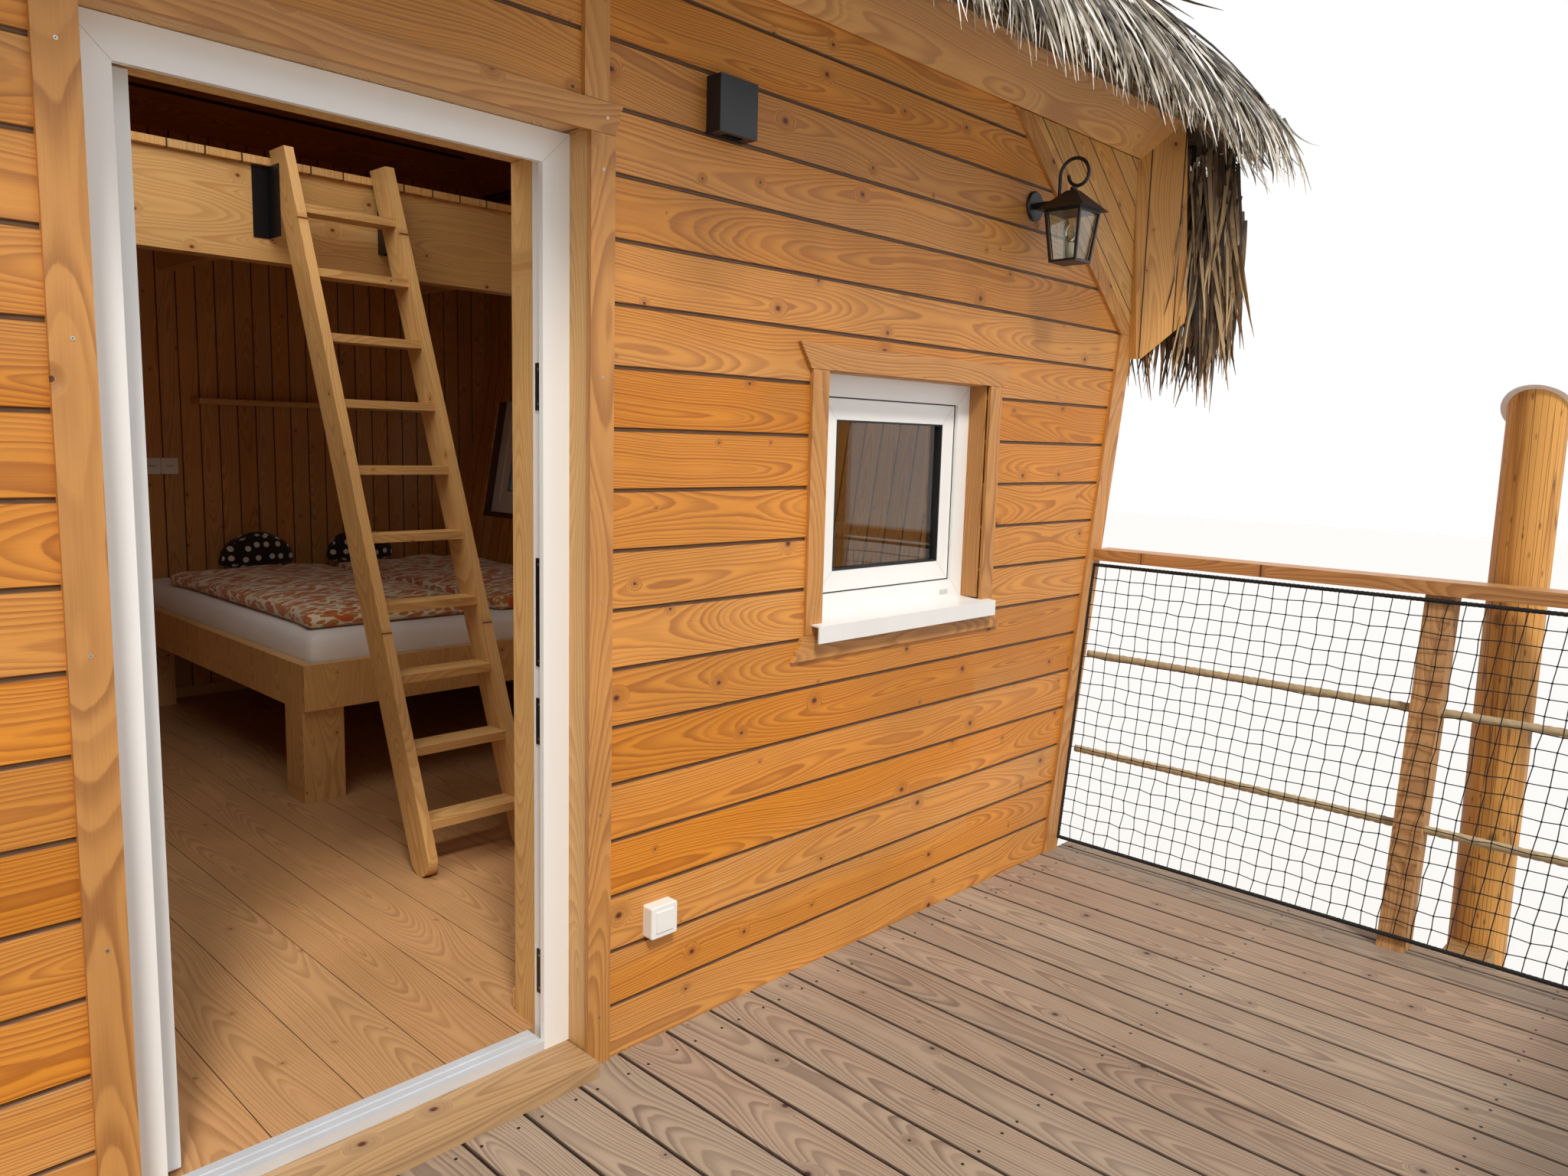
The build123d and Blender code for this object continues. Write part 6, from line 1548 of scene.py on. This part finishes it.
def puff(mesh, name, cap, pressure=4.0, frames=20, voxel=0.022):
    """Fills a closed form with air as cloth, then holds each point near where it started."""
    host = bpy.data.objects.new(name, mesh)
    bpy.context.scene.collection.objects.link(host)
    weld = host.modifiers.new("weld", "REMESH")
    weld.mode = "VOXEL"
    weld.voxel_size = voxel
    bpy.context.view_layer.update()
    start = bpy.data.meshes.new_from_object(host.evaluated_get(bpy.context.evaluated_depsgraph_get()))
    host.modifiers.clear()
    host.data = start
    cloth = host.modifiers.new("cloth", "CLOTH")
    cloth.settings.use_pressure = True
    cloth.settings.uniform_pressure_force = pressure
    cloth.settings.effector_weights.gravity = 0.0
    cloth.settings.tension_stiffness = 12
    cloth.settings.compression_stiffness = 12
    cloth.settings.shrink_min = -0.06
    cloth.point_cache.frame_end = frames
    for number in range(1, frames + 1):
        bpy.context.scene.frame_set(number)
    blown = bpy.data.meshes.new_from_object(host.evaluated_get(bpy.context.evaluated_depsgraph_get()))
    host.modifiers.clear()
    for before, after in zip(start.vertices, blown.vertices):
        moved = after.co - before.co
        if moved.length > cap:
            moved = moved.normalized() * cap
        after.co = before.co + moved
    bpy.context.scene.frame_set(1)
    start = blown
    bpy.data.objects.remove(host)
    return start


def bedding(name, mesh, finish, floor_level, ceiling=None, wrinkle=0.0, seed=0):
    """Wrinkles a soft form, keeps it on what carries it, and smooths it."""
    for vertex in mesh.vertices:
        spot = vertex.co
        if wrinkle:
            fold = noise.noise(Vector((spot.x * 5 + seed, spot.y * 3.2, spot.z * 2)))
            small = noise.noise(Vector((spot.x * 15, spot.y * 11 + seed, 0)))
            lift = wrinkle * (fold + 0.4 * small)
            if spot.z > floor_level + 0.02:
                spot.z += lift
        spot.z = max(spot.z, floor_level)
        if ceiling:
            spot.z = min(spot.z, ceiling)
    cloth_map(mesh)
    piece = show(name, mesh, finish)
    for polygon in mesh.polygons:
        polygon.use_smooth = True
    smooth = piece.modifiers.new("smooth", "SUBSURF")
    smooth.levels = 1
    smooth.render_levels = 1
    return piece


bed_low, bed_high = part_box("mattress")
mattress = soft_block("mattress_pad", bed_low, bed_high, 0.055, 0.035)
mattress_pad = bedding("mattress_pad", mattress, ticking, bed_low[2])
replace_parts(mattress_pad, "mattress")
duvet_low, duvet_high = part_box("duvets")
duvet_middle = (duvet_low[0] + duvet_high[0]) / 2
swell_beside, swell_above = 0.012, 0.014      # kept free for the air that swells a duvet
for k, (low_x, high_x) in enumerate(((duvet_low[0] + swell_beside, duvet_middle - swell_beside),
                                     (duvet_middle + swell_beside, duvet_high[0] - swell_beside))):
    shape = soft_block(f"duvet_{k}", (low_x, duvet_low[1] + swell_beside, duvet_low[2] + 0.004),
                       (high_x, duvet_high[1] - swell_beside, duvet_high[2] - swell_above), 0.030, 0.028)
    shape = puff(shape, f"duvet_{k}", cap=0.02)
    duvet = bedding(f"duvet_{k}", shape, duvet_cotton, duvet_low[2],
                    wrinkle=0.020, seed=4 + 3 * k)
    if k == 0:
        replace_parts(duvet, "duvets")

cushion_low, cushion_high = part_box("cushions")
cap_foot = cushion_low[2] + 0.045
cap_radius = 0.186           # half as wide as the cap, and as high
cap_belly = 0.028            # the cap's depth below its widest line
stalk_half = 0.073


def domed_cap(centre_x, low_y, high_y):
    """The cap of a mushroom-shaped cushion: a dome that is flat below and rounded front and back."""
    work = bmesh.new()
    bmesh.ops.create_icosphere(work, subdivisions=4, radius=1.0)
    for vertex in work.verts:
        spot = vertex.co
        spot.x = centre_x + spot.x * cap_radius
        spot.y = (low_y + high_y) / 2 + spot.y * (high_y - low_y) / 2
        spot.z = cap_foot + cap_belly + spot.z * (cap_radius - cap_belly if spot.z > 0 else cap_belly)
    return finished(work, "cap")


for k, x in enumerate((0.911, 1.470)):
    cap = domed_cap(x, cushion_low[1] + 0.002, cushion_high[1] - 0.002)
    cap = puff(cap, f"cushion_cap_{k}", cap=0.008, voxel=0.014)
    piece = bedding(f"cushion_cap_{k}", cap, plush, cap_foot, wrinkle=0.004,
                    seed=9 + k)
    stalk = soft_block(f"cushion_stalk_{k}", (x - stalk_half, cushion_low[1] + 0.010, cushion_low[2]),
                       (x + stalk_half, cushion_high[1] - 0.010, cap_foot + 0.030), 0.012, 0.026)
    bedding(f"cushion_stalk_{k}", stalk, stalk_plush, cushion_low[2])
    if k == 0:
        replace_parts(piece, "cushions")


# Camera, floor and light

# Lens, angles in radians and place were solved from the straight edges of the front wall in the photo
camera = bpy.data.objects.new("camera", bpy.data.cameras.new("camera"))
bpy.context.scene.collection.objects.link(camera)
bpy.context.scene.camera = camera
camera.data.sensor_width = 36
camera.data.lens = 25.31
yaw, pitch, roll = 0.80664237, 0.13280860, -0.02742218
eye = (-1.323, wall_y - 2.018, 3.693)
forward = Vector((sin(yaw) * cos(pitch), cos(yaw) * cos(pitch), -sin(pitch)))
right = Vector((cos(yaw), -sin(yaw), 0))
down = forward.cross(right)
image_right = right * cos(roll) + down * sin(roll)
image_down = -right * sin(roll) + down * cos(roll)
axes = Matrix((image_right, -image_down, -forward)).transposed()
camera.matrix_world = Matrix.Translation(eye) @ axes.to_4x4()

floor_mesh = bpy.data.meshes.new("floor")
reach = 60.0
floor_mesh.from_pydata([(-reach, -reach, 0), (reach, -reach, 0), (reach, reach, 0), (-reach, reach, 0)], [],
                       [(0, 1, 2, 3)])
floor = bpy.data.objects.new("floor", floor_mesh)
bpy.context.scene.collection.objects.link(floor)
# Matt studio paint: pale and even, so that only the shadow shows
floor_paint, floor_tree, floor_shader = start_material("studio_floor")
feed(floor_tree, floor_shader, {"Base Color": srgb("#e2e1de"), "Roughness": 0.9})
floor_mesh.materials.append(floor_paint)

world = bpy.data.worlds.new("studio")
bpy.context.scene.world = world
world.use_nodes = True
sky = world.node_tree
sky.nodes.clear()
path = add(sky, "ShaderNodeLightPath")
seen = add(sky, "ShaderNodeMath", {0: path.outputs["Is Camera Ray"], 1: path.outputs["Is Glossy Ray"]},
           operation="MAXIMUM")
seen = add(sky, "ShaderNodeMath", {0: seen, 1: path.outputs["Is Transmission Ray"]}, operation="MAXIMUM")
soft = add(sky, "ShaderNodeBackground", {"Color": srgb("#f4f6fa"), "Strength": 0.62})
white = add(sky, "ShaderNodeBackground", {"Color": srgb("#ffffff"), "Strength": 1.0})
both = add(sky, "ShaderNodeMixShader", {0: seen, 1: soft, 2: white})
add(sky, "ShaderNodeOutputWorld", {0: both})

# One broad key light, high on the left of the deck, and a weak one from the other side
for name, strength, spread, code, aim in (("key", 2.6, 10, "#fffaf3", (0.45, 0.85, -1.15)),
                                          ("fill", 0.5, 60, "#eef3ff", (-0.5, 0.5, -0.6))):
    lamp = bpy.data.lights.new(name, "SUN")
    lamp.energy = strength
    lamp.angle = radians(spread)
    lamp.color = srgb(code)[:3]
    light = bpy.data.objects.new(name, lamp)
    light.rotation_euler = Vector(aim).to_track_quat("-Z", "Y").to_euler()
    bpy.context.scene.collection.objects.link(light)

# A soft lamp under the roof keeps the room readable
room_lamp = bpy.data.lights.new("room", "AREA")
room_lamp.energy = 22
room_lamp.size = 1.6
room_light = bpy.data.objects.new("room", room_lamp)
room_light.location = (-0.2, room_front_y + 0.9, deck_z + 2.75)
room_light.visible_camera = False
room_light.visible_glossy = False
bpy.context.scene.collection.objects.link(room_light)

bpy.context.scene.view_settings.view_transform = "Standard"
